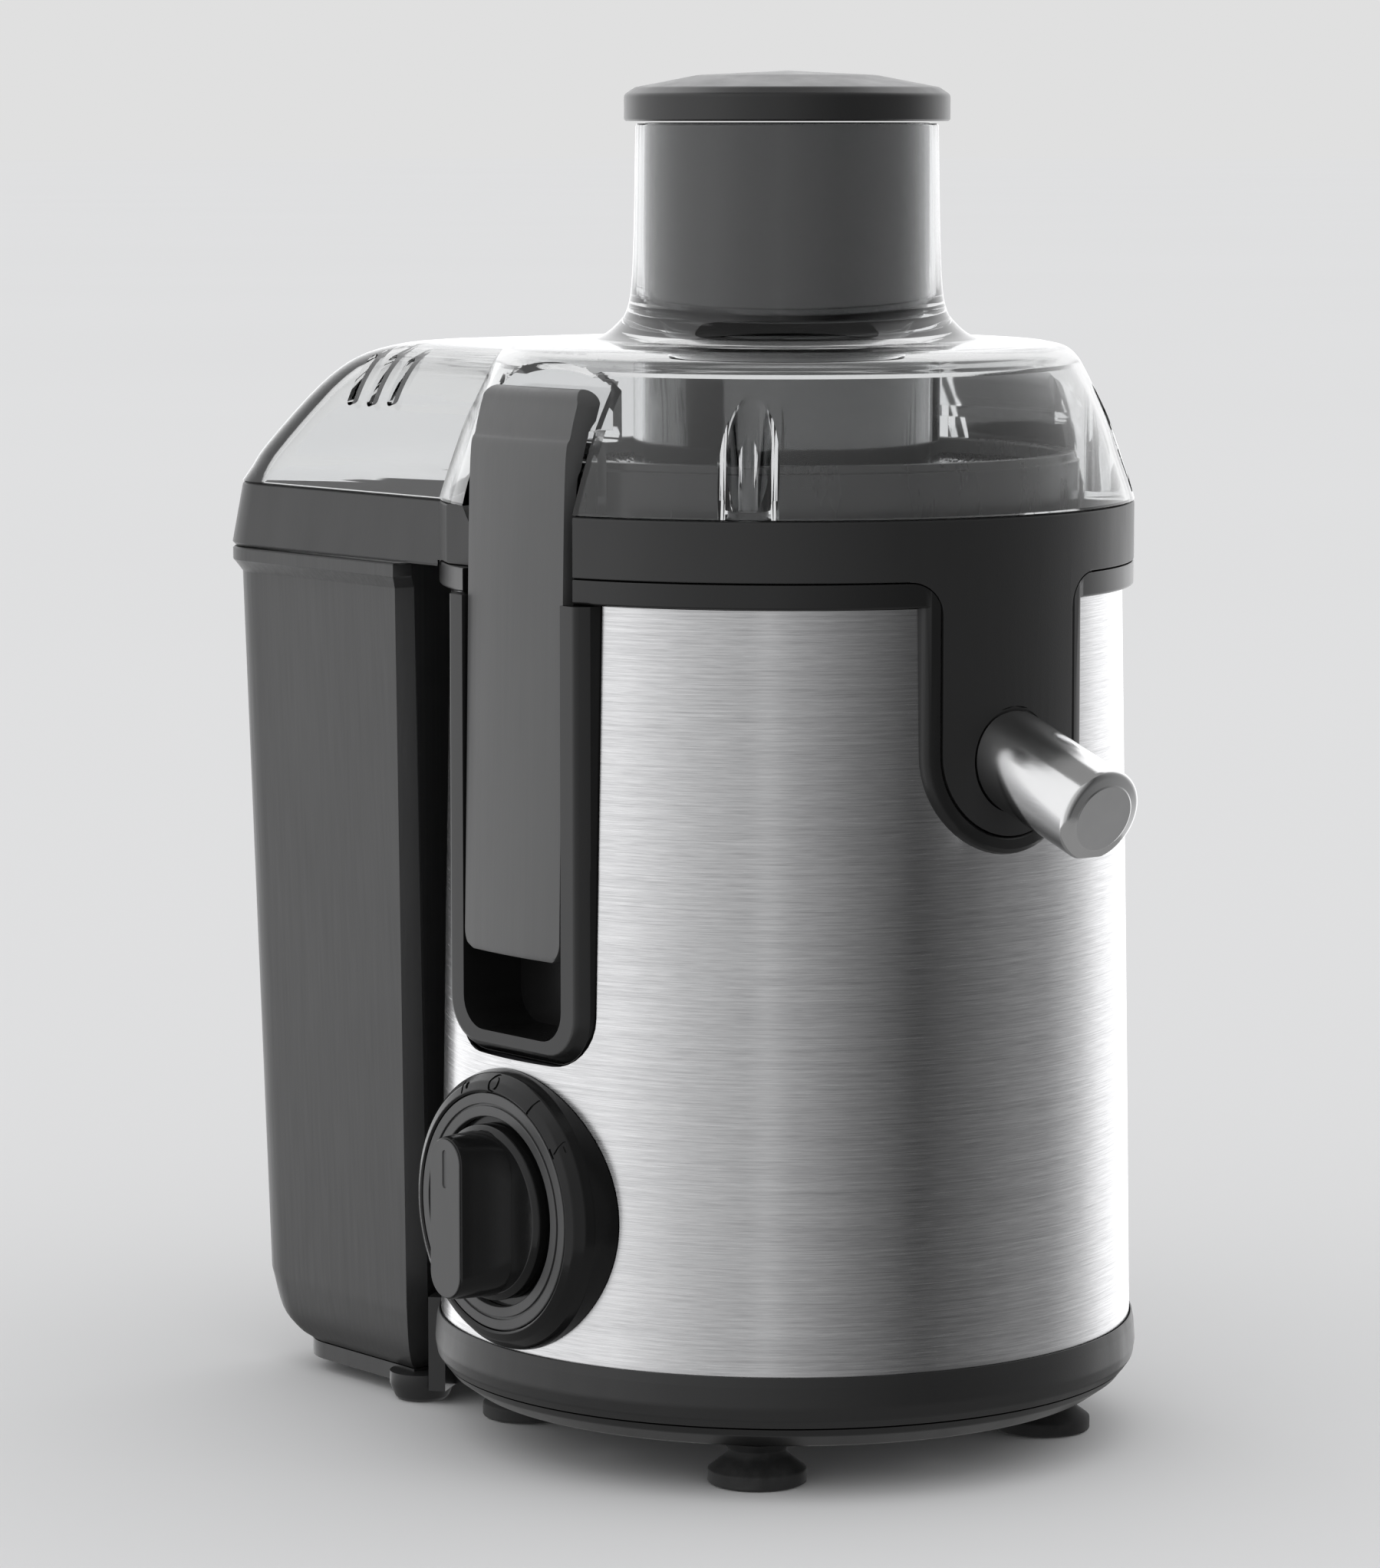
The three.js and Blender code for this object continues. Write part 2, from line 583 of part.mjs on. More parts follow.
// One field coil: a flat racetrack that passes through the slot of the stator.
function fieldCoil(side) {
  const [low, high] = MOTOR.core;
  const outer = roundedRectangle([-21.5, 21.5], [low - 9, high + 9], 7);
  return prismY(outer, side * 29 - 3.1, side * 29 + 3.1, 5);
}

function bearing([low, high]) {
  return tube(MOTOR.bearingRadius, MOTOR.shaftRadius + GAP, low, high);
}

function motorBracket([low, high], bearingSpan) {
  const bar = prismZ(roundedRectangle([-44, 44], [-16, 16], 8), low, high);
  const cup = tube(MOTOR.bearingRadius + 3, MOTOR.bearingRadius + GAP, low, bearingSpan[1] + 1);
  const whole = join(bar, cup);
  return cut(whole, cylinder(MOTOR.bearingRadius + GAP, bearingSpan[0], bearingSpan[1] + 2),
    cylinder(MOTOR.shaftRadius + 2, low - 5, high + 5));
}

function coolingFan() {
  const [low, high] = MOTOR.fan;
  const hub = tube(9, MOTOR.shaftRadius + GAP, low - 1, high);
  const disc = tube(MOTOR.fanRadius, 8, low - 1, low + 1);
  const blades = [];
  for (let k = 0; k < 9; k += 1) {
    blades.push(box([12, MOTOR.fanRadius - 1], [-0.8, 0.8], [low, high]).rotate([0, 0, 40 * k]));
  }
  return join(hub, disc, ...blades);
}

function rotorCore() {
  const [low, high] = MOTOR.core;
  const body = tube(MOTOR.coreRadius, MOTOR.shaftRadius + GAP, low, high);
  const slots = [];
  for (let k = 0; k < 12; k += 1) {
    slots.push(box([14, 25], [-1.2, 1.2], [low - 1, high + 1]).rotate([0, 0, 30 * k]));
  }
  return cut(body, ...slots);
}

function brushHolder(side) {
  const holder = box([13.5, 34], [-6, 6], [71, 83]);
  const channel = box([12, 31], [-3.3, 3.3], [73.6, 80.4]);
  return mirroredTo(side < 0 ? 1 : -1, cut(holder, channel));
}

function carbonBrush(side) {
  return mirroredTo(side < 0 ? 1 : -1, box([MOTOR.commutatorRadius + GAP, 26], [-2.9, 2.9], [74, 80]));
}

function addMotor() {
  addPiece("stator_core", stator(), finish.iron);
  addPiece("field_coil_front", fieldCoil(-1), finish.copper);
  addPiece("field_coil_rear", fieldCoil(1), finish.copper);
  addPiece("lower_motor_bracket", motorBracket([50, 54], MOTOR.lowerBearing), finish.iron);
  addPiece("upper_motor_bracket", motorBracket([166, 170], MOTOR.upperBearing), finish.iron);
  addPiece("lower_bearing", bearing(MOTOR.lowerBearing), finish.steel);
  addPiece("upper_bearing", bearing(MOTOR.upperBearing), finish.steel);
  addPiece("motor_shaft", cylinder(MOTOR.shaftRadius, ...MOTOR.shaft), finish.steel);
  addPiece("rotor_core", rotorCore(), finish.iron);
  addPiece("commutator", tube(MOTOR.commutatorRadius, MOTOR.shaftRadius + GAP, ...MOTOR.commutator), finish.copper);
  addPiece("cooling_fan", coolingFan(), finish.blackPlastic);
  for (const { name, sign } of SIDES) {
    addPiece(`brush_holder_${name}`, brushHolder(sign), finish.blackPlastic);
    addPiece(`carbon_brush_${name}`, carbonBrush(sign), finish.carbon);
    const mount = tube(7, 2.5, 40, 49.6, TINY).translate([sign * 36, 0, 0]);
    addPiece(`motor_mount_${name}`, mount, finish.rubber);
  }
  addPiece("shaft_seal", tube(14.2, MOTOR.shaftRadius + 0.6, 191, 197), finish.rubber);
}

function addControls() {
  addPiece("control_board", box([-30, 30], [58, 59.8], [50, 100]), finish.board);
  addPiece("safety_switch", box([-60, -44], [30, 42], [172, 186]), finish.blackPlastic);
  const body = box([-80, -66], [-13, 13], [DIAL_Z - 13, DIAL_Z + 13]);
  const bore = alongX(cylinder(3.6, 0, 30, TINY), -100);
  addPiece("rotary_switch", cut(body, bore), finish.blackPlastic);
}

// Puts a solid made upright about the origin onto the dial's axis, its base at x.
function alongX(solid, x) {
  return alongDirection(solid, new THREE.Vector3(1, 0, 0), new THREE.Vector3(x, 0, DIAL_Z));
}

// Turns an outline of [radius, distance out from the drive axis] about the dial's axis.
function turnedAboutDial(outline, sides = FINE) {
  return alongX(turned(outline.map(([radius, out]) => [radius, -out]), sides), 0);
}

// ---------- dial ----------

function dialBezel() {
  const blank = turnedAboutDial([
    [DIAL_RING_INNER - 0.4, 84], [DIAL_BEZEL_RADIUS, 84], [DIAL_BEZEL_RADIUS, 93.2], [36.6, 95.4], [35, 97.4],
    [33.2, 98.8], [31.8, 99.3], [31.6, 96.6], [DIAL_RING_INNER - 0.4, 96.6],
  ], 28);
  const skin = turned([[0, 0], [SKIN_OUTLINE[0][0] + GAP, 20],
    ...SKIN_OUTLINE.map(([r, z]) => [r + GAP, z]), [0, SKIN_TOP_Z]]);
  return cut(blank, skin);
}

function dialRings() {
  return turnedAboutDial([
    [DIAL_RING_INNER, 97], [DIAL_RING_OUTER, 97], [DIAL_RING_OUTER, DIAL_RING_FACE],
    [DIAL_RING_INNER, DIAL_RING_FACE],
  ], 28);
}

// Knob: a low barrel with a bar grip that narrows to its face.
function dialKnob() {
  const barrel = turnedAboutDial([
    [0, 97.2], [KNOB_RADIUS, 97.2], [KNOB_RADIUS, 100.4], [22.2, 101.6], [0, 102.6],
  ], 28);
  const levels = [
    { z: 98, width: 27, height: 44.4 }, { z: 103, width: 24, height: 44 }, { z: 109, width: 17.6, height: 43.4 },
    { z: KNOB_REACH - 1.2, width: GRIP_WIDTH, height: GRIP_HEIGHT },
  ];
  const grip = lofted(levels.map(({ z, width, height }) => {
    const half = width / 2 - 0.01;
    const outline = roundedRectangle([-width / 2, width / 2], [DIAL_Z - height / 2, DIAL_Z + height / 2], half);
    return { z, points: outline.getPoints(3).slice(0, -1) };
  }));
  const laid = moved(grip, new THREE.Matrix4().makeBasis(
    new THREE.Vector3(0, 1, 0), new THREE.Vector3(0, 0, 1), new THREE.Vector3(-1, 0, 0)));
  return join(barrel, laid);
}

function knobFace() {
  const outline = roundedRectangle([-GRIP_WIDTH / 2 + 0.3, GRIP_WIDTH / 2 - 0.3],
    [DIAL_Z - GRIP_HEIGHT / 2 + 0.3, DIAL_Z + GRIP_HEIGHT / 2 - 0.3], GRIP_WIDTH / 2 - 0.35);
  const plate = prismX(outline, -KNOB_REACH, -KNOB_REACH + 0.9, 4);
  const groove = prismX(roundedRectangle([-0.6, 0.6], [DIAL_Z + 8, DIAL_Z + 18], 0.55), -KNOB_REACH - 1,
    -KNOB_REACH + 0.5, 2);
  return cut(plate, groove);
}

function addDial() {
  addPiece("dial_bezel", dialBezel(), finish.glossBlack);
  addPiece("dial_rings", dialRings(), finish.greyPlastic);
  addPiece("dial_knob", dialKnob(), finish.blackPlastic);
  addPiece("knob_face", knobFace(), finish.greyPlastic);
  addPiece("dial_shaft", alongX(cylinder(3, -96.9, -70, TINY), 0), finish.steel);
}

// ---------- juice collector, basket and spout ----------

const SPOUT_AXIS = new THREE.Vector3(0, -Math.cos(SPOUT_DROOP), -Math.sin(SPOUT_DROOP));

// Solid turned about the spout's axis from [radius, distance back from the tip] points.
function turnedAboutSpout(outline, sides = SMALL) {
  const solid = turned(outline.map(([radius, back]) => [radius, -back]), sides);
  return alongDirection(solid, SPOUT_AXIS, SPOUT_TIP);
}

function spoutTube() {
  const body = turnedAboutSpout([
    [0, 0], [SPOUT_FACE_RADIUS, 0], [11, 1], [12.3, 2.4], [SPOUT_RADIUS, 4], [SPOUT_RADIUS, SPOUT_LENGTH - 0.8],
    [0, SPOUT_LENGTH - 0.8],
  ]);
  const boreEnd = SPOUT_LENGTH + 5;
  const bore = turnedAboutSpout([[0, 2], [SPOUT_BORE, 3.6], [SPOUT_BORE, boreEnd], [0, boreEnd]]);
  const flat = box([-20, 20], [-140, -60], [150, SPOUT_CUT_Z]);
  const outlet = prismZ(roundedRectangle([-7, 7], [-121, -108], 4), 150, 176);
  return cut(body, bore, flat, outlet);
}

function spoutSeal() {
  return turnedAboutSpout([
    [SPOUT_BORE + 0.1, SPOUT_LENGTH - 0.4], [SPOUT_RADIUS + 0.4, SPOUT_LENGTH - 0.4],
    [SPOUT_RADIUS + 0.4, SPOUT_LENGTH + 1.4], [SPOUT_BORE + 0.1, SPOUT_LENGTH + 1.4],
  ]);
}

function collectorBowl() {
  return turned([
    [14.8, 200.5], [79, 200.5], [82.4, 206], [83.6, TRIM_TOP_Z + GAP], [RING_RADIUS, TRIM_TOP_Z + GAP],
    [RING_RADIUS, SEAM_Z], [90.6, SEAM_Z], [88, 241], [81, TRIM_TOP_Z + 1], [80, 206.9], [78, 203.3], [17.8, 203.3],
    [17.8, 216], [14.8, 216],
  ]);
}

function apron() {
  const blank = prismY(apronSpaceOutline(0), -100, -60, 9);
  return blank.intersect(tube(RING_RADIUS - 0.2, 86, 160, TRIM_TOP_Z + 2, FINE));
}

// Open frame round the chute, flaring a little towards the container below it.
function chuteSkirt() {
  const outer = lofted([
    { z: SKIRT_BOTTOM_Z, points: chuteOutline(SKIRT_HALF, SKIRT_REAR, CHUTE_CORNER + 3, 42.3) },
    { z: SEAM_Z, points: chuteOutline(SKIRT_HALF - SKIRT_FLARE, SKIRT_REAR - SKIRT_FLARE, CHUTE_CORNER, 42.3) },
  ]);
  const wall = 2.6;
  const inner = lofted([
    { z: SKIRT_BOTTOM_Z - 1,
      points: chuteOutline(SKIRT_HALF - wall, SKIRT_REAR - wall, CHUTE_CORNER + 0.4) },
    { z: SEAM_Z + 1,
      points: chuteOutline(SKIRT_HALF - wall - SKIRT_FLARE, SKIRT_REAR - wall - SKIRT_FLARE, CHUTE_CORNER - wall) },
  ]);
  return cut(outer, inner);
}

function juiceCollector() {
  const outerStart = SPOUT_LENGTH - 0.5;
  const boreStart = SPOUT_LENGTH - 8;
  const passageOuter = turnedAboutSpout([[0, outerStart], [14.4, outerStart], [14.4, 66], [0, 66]]);
  const passage = turnedAboutSpout([[0, boreStart], [SPOUT_BORE, boreStart], [SPOUT_BORE, 68], [0, 68]]);
  const seat = turnedAboutSpout([
    [0, 0], [SPOUT_RADIUS + GAP, 0], [SPOUT_RADIUS + GAP, SPOUT_LENGTH - 0.4],
    [SPOUT_RADIUS + GAP + 0.4, SPOUT_LENGTH - 0.4], [SPOUT_RADIUS + GAP + 0.4, SPOUT_LENGTH + 1.8],
    [0, SPOUT_LENGTH + 1.8],
  ]);
  const skirt = cut(chuteSkirt(), cylinder(91.5, 200, 260, FINE),
    cylinder(RING_RADIUS + 0.8, 200, TRIM_TOP_Z + GAP, FINE));
  const trimmed = cut(passageOuter, turned([[0, 203.3], [83, 203.3], [83, 260], [0, 260]], FINE));
  const flats = SIDES.map(({ sign }) => mirroredTo(sign,
    box([-85.4, -82.6], [-44, 44], [TRIM_TOP_Z + GAP, SEAM_Z]).intersect(cylinder(92, 200, 260, FINE))));
  const solid = join(collectorBowl(), apron(), skirt, trimmed, ...flats);
  const recesses = SIDES.map(({ sign }) => armRecess(sign, 230, 260, 85.4));
  const behindArm = SIDES.map(({ sign }) => mirroredTo(sign, box([-130, -85.4], [20, 42.3], [230, 260])));
  const beyondRing = cut(box([-30, 30], [-130, -60], [150, 260]), cylinder(RING_RADIUS, 140, 270, FINE));
  return cut(solid, passage, seat, ...recesses, ...behindArm, beyondRing);
}

function filterMesh() {
  return turned([
    [36.4, 218.3], [37.6, 218.3], [76, 262], [74.4, 262], [36.4, 219.4],
  ], 28);
}

function basketRim() {
  return turned([
    [73, 262.4], [77.2, 262.4], [77.2, 251], [78.6, 251], [78.6, 266.4], [73, 266.4],
  ], 28);
}

function basketBase() {
  return turned([[0, 217.2], [36, 217.2], [36, 219], [0, 219]], 28);
}

function graterDisc() {
  const disc = turned([[0, 219.4], [34, 219.4], [34, 220.2], [10, 220.2], [7, 222.4], [0, 222.8]], 32);
  const teeth = [];
  for (let ring = 0; ring < 2; ring += 1) {
    const count = 6 + 2 * ring;
    for (let k = 0; k < count; k += 1) {
      const tooth = box([15 + 10 * ring, 19 + 10 * ring], [-0.6, 0.6], [219.8, 221.6]);
      teeth.push(tooth.rotate([0, 0, (360 * k) / count + 12 * ring]));
    }
  }
  return join(disc, ...teeth);
}

function driveCoupling() {
  const body = turned([[0, 203.4], [12.6, 203.4], [12.6, 212], [9, 216.8], [0, 216.8]], 24);
  const flats = [];
  for (let k = 0; k < 6; k += 1) {
    flats.push(box([11.2, 20], [-2, 2], [205, 218]).rotate([0, 0, 60 * k]));
  }
  return cut(body, ...flats);
}

// ---------- lid and pusher ----------

const LID_OUTLINE = [
  [RING_RADIUS, SEAM_Z + GAP], [90.4, 263.6], [86, 276], [79.9, 288.3], [76.4, 293.8], [72, 295.3], [52, 295.9],
];
const TUBE_FLARE = [[49, 297.4], [45.1, 300.7], [42.2, 306], [41.4, 314], [40.6, TUBE_TOP_Z]];

// Chute cover: half width and rear reach at each height, down to the seam.
const COVER_LEVELS = [
  { z: SEAM_Z + GAP, half: 78, rear: 158.2 },
  { z: 264, half: 76.3, rear: 148.9 },
  { z: 278, half: 72.4, rear: 133.5 },
  { z: 289, half: 66.4, rear: 119.3 },
  { z: 294.3, half: 55, rear: 101 },
];

function coverLoft(inset, drop) {
  return lofted(COVER_LEVELS.map(({ z, half, rear }, index) => ({
    z: index === 0 ? z - drop : z - 0.7 * drop,
    points: chuteOutline(half - inset, rear - 1.35 * inset, CHUTE_CORNER - inset * 0.8),
  })));
}

// One upright vent slot on the side of the cover.
function ventSlot(sign, y, length) {
  const shape = roundedRectangle([-1.4, 1.4], [-length / 2, length / 2], 1.35);
  return mirroredTo(sign, prismX(shape, -100, -50, 1).translate([0, y, 283.6]));
}

function lid() {
  const outside = turned([[0, SEAM_Z + GAP], ...LID_OUTLINE, ...TUBE_FLARE, [0, TUBE_TOP_Z]]);
  const insideOutline = LID_OUTLINE.map(([r, z]) => [r - LID_WALL, z - (z > 290 ? LID_WALL : 0.4)]);
  const inside = turned([[0, SEAM_Z - 3], [RING_RADIUS - LID_WALL, SEAM_Z - 3], ...insideOutline, [0, 293.3]]);
  const shell = cut(join(outside, coverLoft(0, 0)), join(inside, coverLoft(LID_WALL, 4)));
  const throat = tube(41.2, TUBE_BORE - 1, TUBE_BOTTOM_Z, 296, FINE);
  const bore = cylinder(TUBE_BORE, TUBE_BOTTOM_Z - 1, TUBE_TOP_Z + 1, FINE);
  const slots = SIDES.flatMap(({ sign }) => [[100, 14], [90.7, 14], [81.4, 13]].map(
    ([y, length]) => ventSlot(sign, y, length)));
  const pockets = SIDES.flatMap(({ sign }) => [
    armRecess(sign, SEAM_Z - 1, 275, 82.6),
    mirroredTo(sign, box([-130, -77.6], [-RECESS_HALF, RECESS_HALF], [275, 300])),
  ]);
  const plugs = SIDES.map(({ sign }) => mirroredTo(sign, lidLug()).intersect(outside));
  const niches = SIDES.map(({ sign }) => mirroredTo(sign, nicheWall()).intersect(outside));
  const niche = nicheCylinder(NICHE_RADIUS, SEAM_Z - 1);
  const hollows = SIDES.map(({ sign }) => mirroredTo(sign, niche));
  const open = cut(join(cut(join(shell, throat), ...slots, ...pockets), ...plugs, ...niches), ...hollows);
  return cut(open, bore);
}

// Upright cylinder at the place of the half-round niche in the front of the lid.
function nicheCylinder(radius, low) {
  const turn = THREE.MathUtils.degToRad(NICHE_ANGLE);
  const place = [NICHE_CIRCLE * Math.cos(turn), NICHE_CIRCLE * Math.sin(turn), 0];
  return cylinder(radius, low, 292).translate(place);
}

function nicheWall() {
  return nicheCylinder(NICHE_RADIUS + 2, SEAM_Z + GAP);
}

// Lug inside the lid wall that each clamp hook closes on.
function lidLug() {
  const profile = polygon([[-82.6, SEAM_Z + GAP], [-82.6, 275], [-77.6, 275], [-77.6, 294], [-74.8, 294],
    [-74.8, 272], [-79.8, 272], [-79.8, SEAM_Z + GAP]]);
  return prismY(profile, -RECESS_HALF - 1.5, RECESS_HALF + 1.5);
}

function pusherBody() {
  return turned([
    [0, 237.5], [34, 236.2], [36.6, PUSHER_BOTTOM_Z], [PUSHER_RADIUS, 238], [PUSHER_RADIUS, CAP_BOTTOM_Z - GAP],
    [33, CAP_BOTTOM_Z - GAP], [33, 243], [0, 243],
  ], 28);
}

function pusherCap() {
  return turned([
    [0, CAP_BOTTOM_Z], [CAP_RADIUS - 0.2, CAP_BOTTOM_Z], [CAP_RADIUS, CAP_BOTTOM_Z + 0.3], [CAP_RADIUS, 361],
    [CAP_RADIUS - 1.4, 362.7], [30, 365.4], [14, 367.2], [0, TOTAL_HEIGHT],
  ], 32);
}

// ---------- assembly ----------

addPiece("base_shell", baseShell(), finish.darkPlastic);
addPiece("base_plate", basePlate(), finish.blackPlastic);
addFeet();
addBaseScrews();
addPiece("container_cradle", containerCradle(), finish.darkPlastic);
addPiece("cord_gland", cordGland(), finish.rubber);
addPiece("steel_skin", steelSkin(), finish.steel);
addPiece("motor_housing", motorHousing(), finish.blackPlastic);
addPiece("trim_ring_front", trimHalf(-1), finish.blackPlastic);
addPiece("trim_ring_rear", trimHalf(1), finish.blackPlastic);
for (const { name, sign } of SIDES) {
  addPiece(`clamp_channel_${name}`, clampChannel(sign), finish.blackPlastic);
  addPiece(`clamp_arm_${name}`, clampArm(sign), finish.greyPlastic);
  addPiece(`clamp_pin_${name}`, pivotPin(sign), finish.steel);
}
addMotor();
addControls();
addDial();
addPiece("drive_coupling", driveCoupling(), finish.greyPlastic);
addPiece("basket_base", basketBase(), finish.greyPlastic);
addPiece("filter_mesh", filterMesh(), finish.steel);
addPiece("basket_rim", basketRim(), finish.greyPlastic);
addPiece("grater_disc", graterDisc(), finish.steel);
addPiece("juice_collector", juiceCollector(), finish.darkPlastic);
addPiece("spout_tube", spoutTube(), finish.polished);
addPiece("spout_seal", spoutSeal(), finish.rubber);
addPiece("lid", lid(), finish.clear);
addPiece("pusher_body", pusherBody(), finish.blackPlastic);
addPiece("pusher_cap", pusherCap(), finish.darkPlastic);
addPiece("pulp_container", containerSolid(), finish.darkPlastic);

export default juicer;
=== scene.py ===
"""Centrifugal juicer: steel body, black plastic trim, clear lid with feed tube, rear pulp container.

Shapes are worked out in millimetres about the drive axis (+Z up, -Y the spout, -X the dial) from the
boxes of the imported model, and become metres in the part's frame when a piece is finished.
"""
import json
import math

import bmesh
import bpy
from mathutils import Matrix, Vector


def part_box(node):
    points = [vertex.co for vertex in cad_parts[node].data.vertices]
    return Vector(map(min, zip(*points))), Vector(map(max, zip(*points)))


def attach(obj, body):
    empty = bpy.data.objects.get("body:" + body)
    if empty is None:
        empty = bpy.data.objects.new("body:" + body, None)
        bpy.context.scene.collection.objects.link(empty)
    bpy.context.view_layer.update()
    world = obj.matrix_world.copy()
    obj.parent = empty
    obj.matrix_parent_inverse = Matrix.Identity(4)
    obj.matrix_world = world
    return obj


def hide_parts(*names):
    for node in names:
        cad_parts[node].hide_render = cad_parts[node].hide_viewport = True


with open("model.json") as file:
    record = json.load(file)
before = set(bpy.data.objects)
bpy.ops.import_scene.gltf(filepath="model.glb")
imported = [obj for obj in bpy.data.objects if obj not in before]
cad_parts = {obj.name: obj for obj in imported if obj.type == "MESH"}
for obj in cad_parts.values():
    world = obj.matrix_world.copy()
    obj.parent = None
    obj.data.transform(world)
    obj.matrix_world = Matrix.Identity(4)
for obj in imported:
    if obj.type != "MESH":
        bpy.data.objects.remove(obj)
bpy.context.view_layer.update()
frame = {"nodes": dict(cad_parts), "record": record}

MM = 0.001
skin_low, skin_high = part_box("steel_skin")
AXIS = Vector(((skin_low.x + skin_high.x) / 2, (skin_low.y + skin_high.y) / 2, 0))


def node_box(node):
    """Lowest and highest corner of a CAD node in millimetres about the drive axis."""
    low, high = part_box(node)
    return (low - AXIS) / MM, (high - AXIS) / MM


# ---------- driving dimensions, from the frame ----------

GAP = 0.3
SIDES = 192
SKIN_LOW = node_box("steel_skin")[0].z
SKIN_TOP = node_box("steel_skin")[1].z
SKIN_FOOT_RADIUS = node_box("steel_skin")[1].x
SKIN_OUTLINE = [(SKIN_FOOT_RADIUS, SKIN_LOW), (SKIN_FOOT_RADIUS - 1.6, 126),
                (SKIN_FOOT_RADIUS - 3.6, SKIN_TOP)]
BASE_RADIUS = node_box("base_shell")[1].x
RING_RADIUS = -node_box("trim_ring_front")[0].y
TRIM_TOP = node_box("trim_ring_rear")[1].z
RING_BOTTOM = TRIM_TOP + GAP
SEAM = node_box("juice_collector")[1].z
LID_FOOT = SEAM + 0.35
APRON_BOTTOM = node_box("juice_collector")[0].z
APRON_HALF = 22
APRON_FILLET = 9
FRAME_WIDTH = 5
ARM_LOW, ARM_HIGH = node_box("clamp_arm_left")
CHANNEL_LOW, CHANNEL_HIGH = node_box("clamp_channel_left")
DIAL_LOW, DIAL_HIGH = node_box("dial_bezel")
CHANNEL_CORNER = 14
CHANNEL_RIM = 6
DIAL_Z = (DIAL_LOW.z + DIAL_HIGH.z) / 2
DIAL_RADIUS = (DIAL_HIGH.z - DIAL_LOW.z) / 2
KNOB_FACE_X = node_box("dial_knob")[0].x
TUBE_TOP = node_box("lid")[1].z
CONTAINER_LOW, CONTAINER_HIGH = node_box("pulp_container")
SKIRT_REAR = node_box("juice_collector")[1].y
SPOUT_LOW, SPOUT_HIGH = node_box("spout_tube")
SPOUT_DROOP = math.radians(19.3)
SPOUT_FACE_RADIUS = 8.8
SPOUT_RADIUS = (SPOUT_HIGH.x - SPOUT_LOW.x) / 2
SPOUT_LENGTH = 40.2
SPOUT_BORE = 10.2
SPOUT_TIP = Vector((0, SPOUT_LOW.y + SPOUT_FACE_RADIUS * math.sin(SPOUT_DROOP), 178.7))
LEFT, RIGHT = -1, 1
SIDE_NAMES = {LEFT: "left", RIGHT: "right"}


# ---------- outlines ----------

def circle_points(radius, steps, start=0.0, stop=2 * math.pi, centre=(0, 0)):
    """Points on an arc; a whole circle doesn't repeat its first point."""
    whole = abs(abs(stop - start) - 2 * math.pi) < 1e-6
    count = steps if whole else steps + 1
    return [(centre[0] + radius * math.cos(start + (stop - start) * k / steps),
             centre[1] + radius * math.sin(start + (stop - start) * k / steps)) for k in range(count)]


def rounded(points, steps=5, closed=True):
    """Fillets corners given as (a, b, radius); a corner given as (a, b) stays sharp."""
    result = []
    count = len(points)
    for k, point in enumerate(points):
        here = Vector(point[:2])
        radius = point[2] if len(point) > 2 else 0
        if radius == 0 or (not closed and k in (0, count - 1)):
            result.append(tuple(here))
            continue
        before = Vector(points[k - 1][:2]) - here
        after = Vector(points[(k + 1) % count][:2]) - here
        half_angle = before.angle(after) / 2
        reach = min(radius / math.tan(half_angle), 0.49 * before.length, 0.49 * after.length)
        start = here + before.normalized() * reach
        stop = here + after.normalized() * reach
        for step in range(steps + 1):
            t = step / steps
            result.append(tuple((1 - t) ** 2 * start + 2 * t * (1 - t) * here + t * t * stop))
    return result


def spline(points, steps=6):
    """Smooth curve through all points (Catmull-Rom), as a list of tuples."""
    ends = [2 * Vector(points[0]) - Vector(points[1])]
    tail = [2 * Vector(points[-1]) - Vector(points[-2])]
    knots = ends + [Vector(p) for p in points] + tail
    result = []
    for a, b, c, d in zip(knots, knots[1:], knots[2:], knots[3:]):
        for step in range(steps):
            t = step / steps
            result.append(tuple(0.5 * (2 * b + (c - a) * t + (2 * a - 5 * b + 4 * c - d) * t ** 2
                                       + (3 * b - a - 3 * c + d) * t ** 3)))
    return result + [tuple(points[-1])]


def rounded_rectangle(a0, a1, b0, b1, radius, steps=8):
    quarter = math.pi / 2
    centres = [(a1 - radius, b0 + radius), (a1 - radius, b1 - radius), (a0 + radius, b1 - radius),
               (a0 + radius, b0 + radius)]
    return [point for k, centre in enumerate(centres)
            for point in circle_points(radius, steps, (k - 1) * quarter, k * quarter, centre)]


# ---------- solids ----------

def added(name, data):
    """New object in the scene."""
    made = bpy.data.objects.new(name, data)
    bpy.context.scene.collection.objects.link(made)
    return made


def solid(points, faces):
    """Closed mesh object from millimetre points, its faces turned outward."""
    mesh = bpy.data.meshes.new("solid")
    mesh.from_pydata([tuple(p) for p in points], [], faces)
    work = bmesh.new()
    work.from_mesh(mesh)
    bmesh.ops.remove_doubles(work, verts=work.verts, dist=1e-5)
    bmesh.ops.recalc_face_normals(work, faces=work.faces)
    work.to_mesh(mesh)
    work.free()
    return added("solid", mesh)


def turned(outline, sides=SIDES):
    """Turns an outline of (radius, z) about Z: closed, or running from axis to axis."""
    points, rows = [], []
    for radius, height in outline:
        first = len(points)
        if radius < 1e-6:
            points.append((0, 0, height))
            rows.append([first] * sides)
        else:
            points += [(x, y, height) for x, y in circle_points(radius, sides)]
            rows.append(list(range(first, first + sides)))
    if outline[0][0] > 1e-6:
        rows.append(rows[0])
    faces = []
    for low, high in zip(rows, rows[1:]):
        for k in range(sides):
            after = (k + 1) % sides
            corners = list(dict.fromkeys((low[k], low[after], high[after], high[k])))
            if len(corners) > 2:
                faces.append(corners)
    return solid(points, faces)


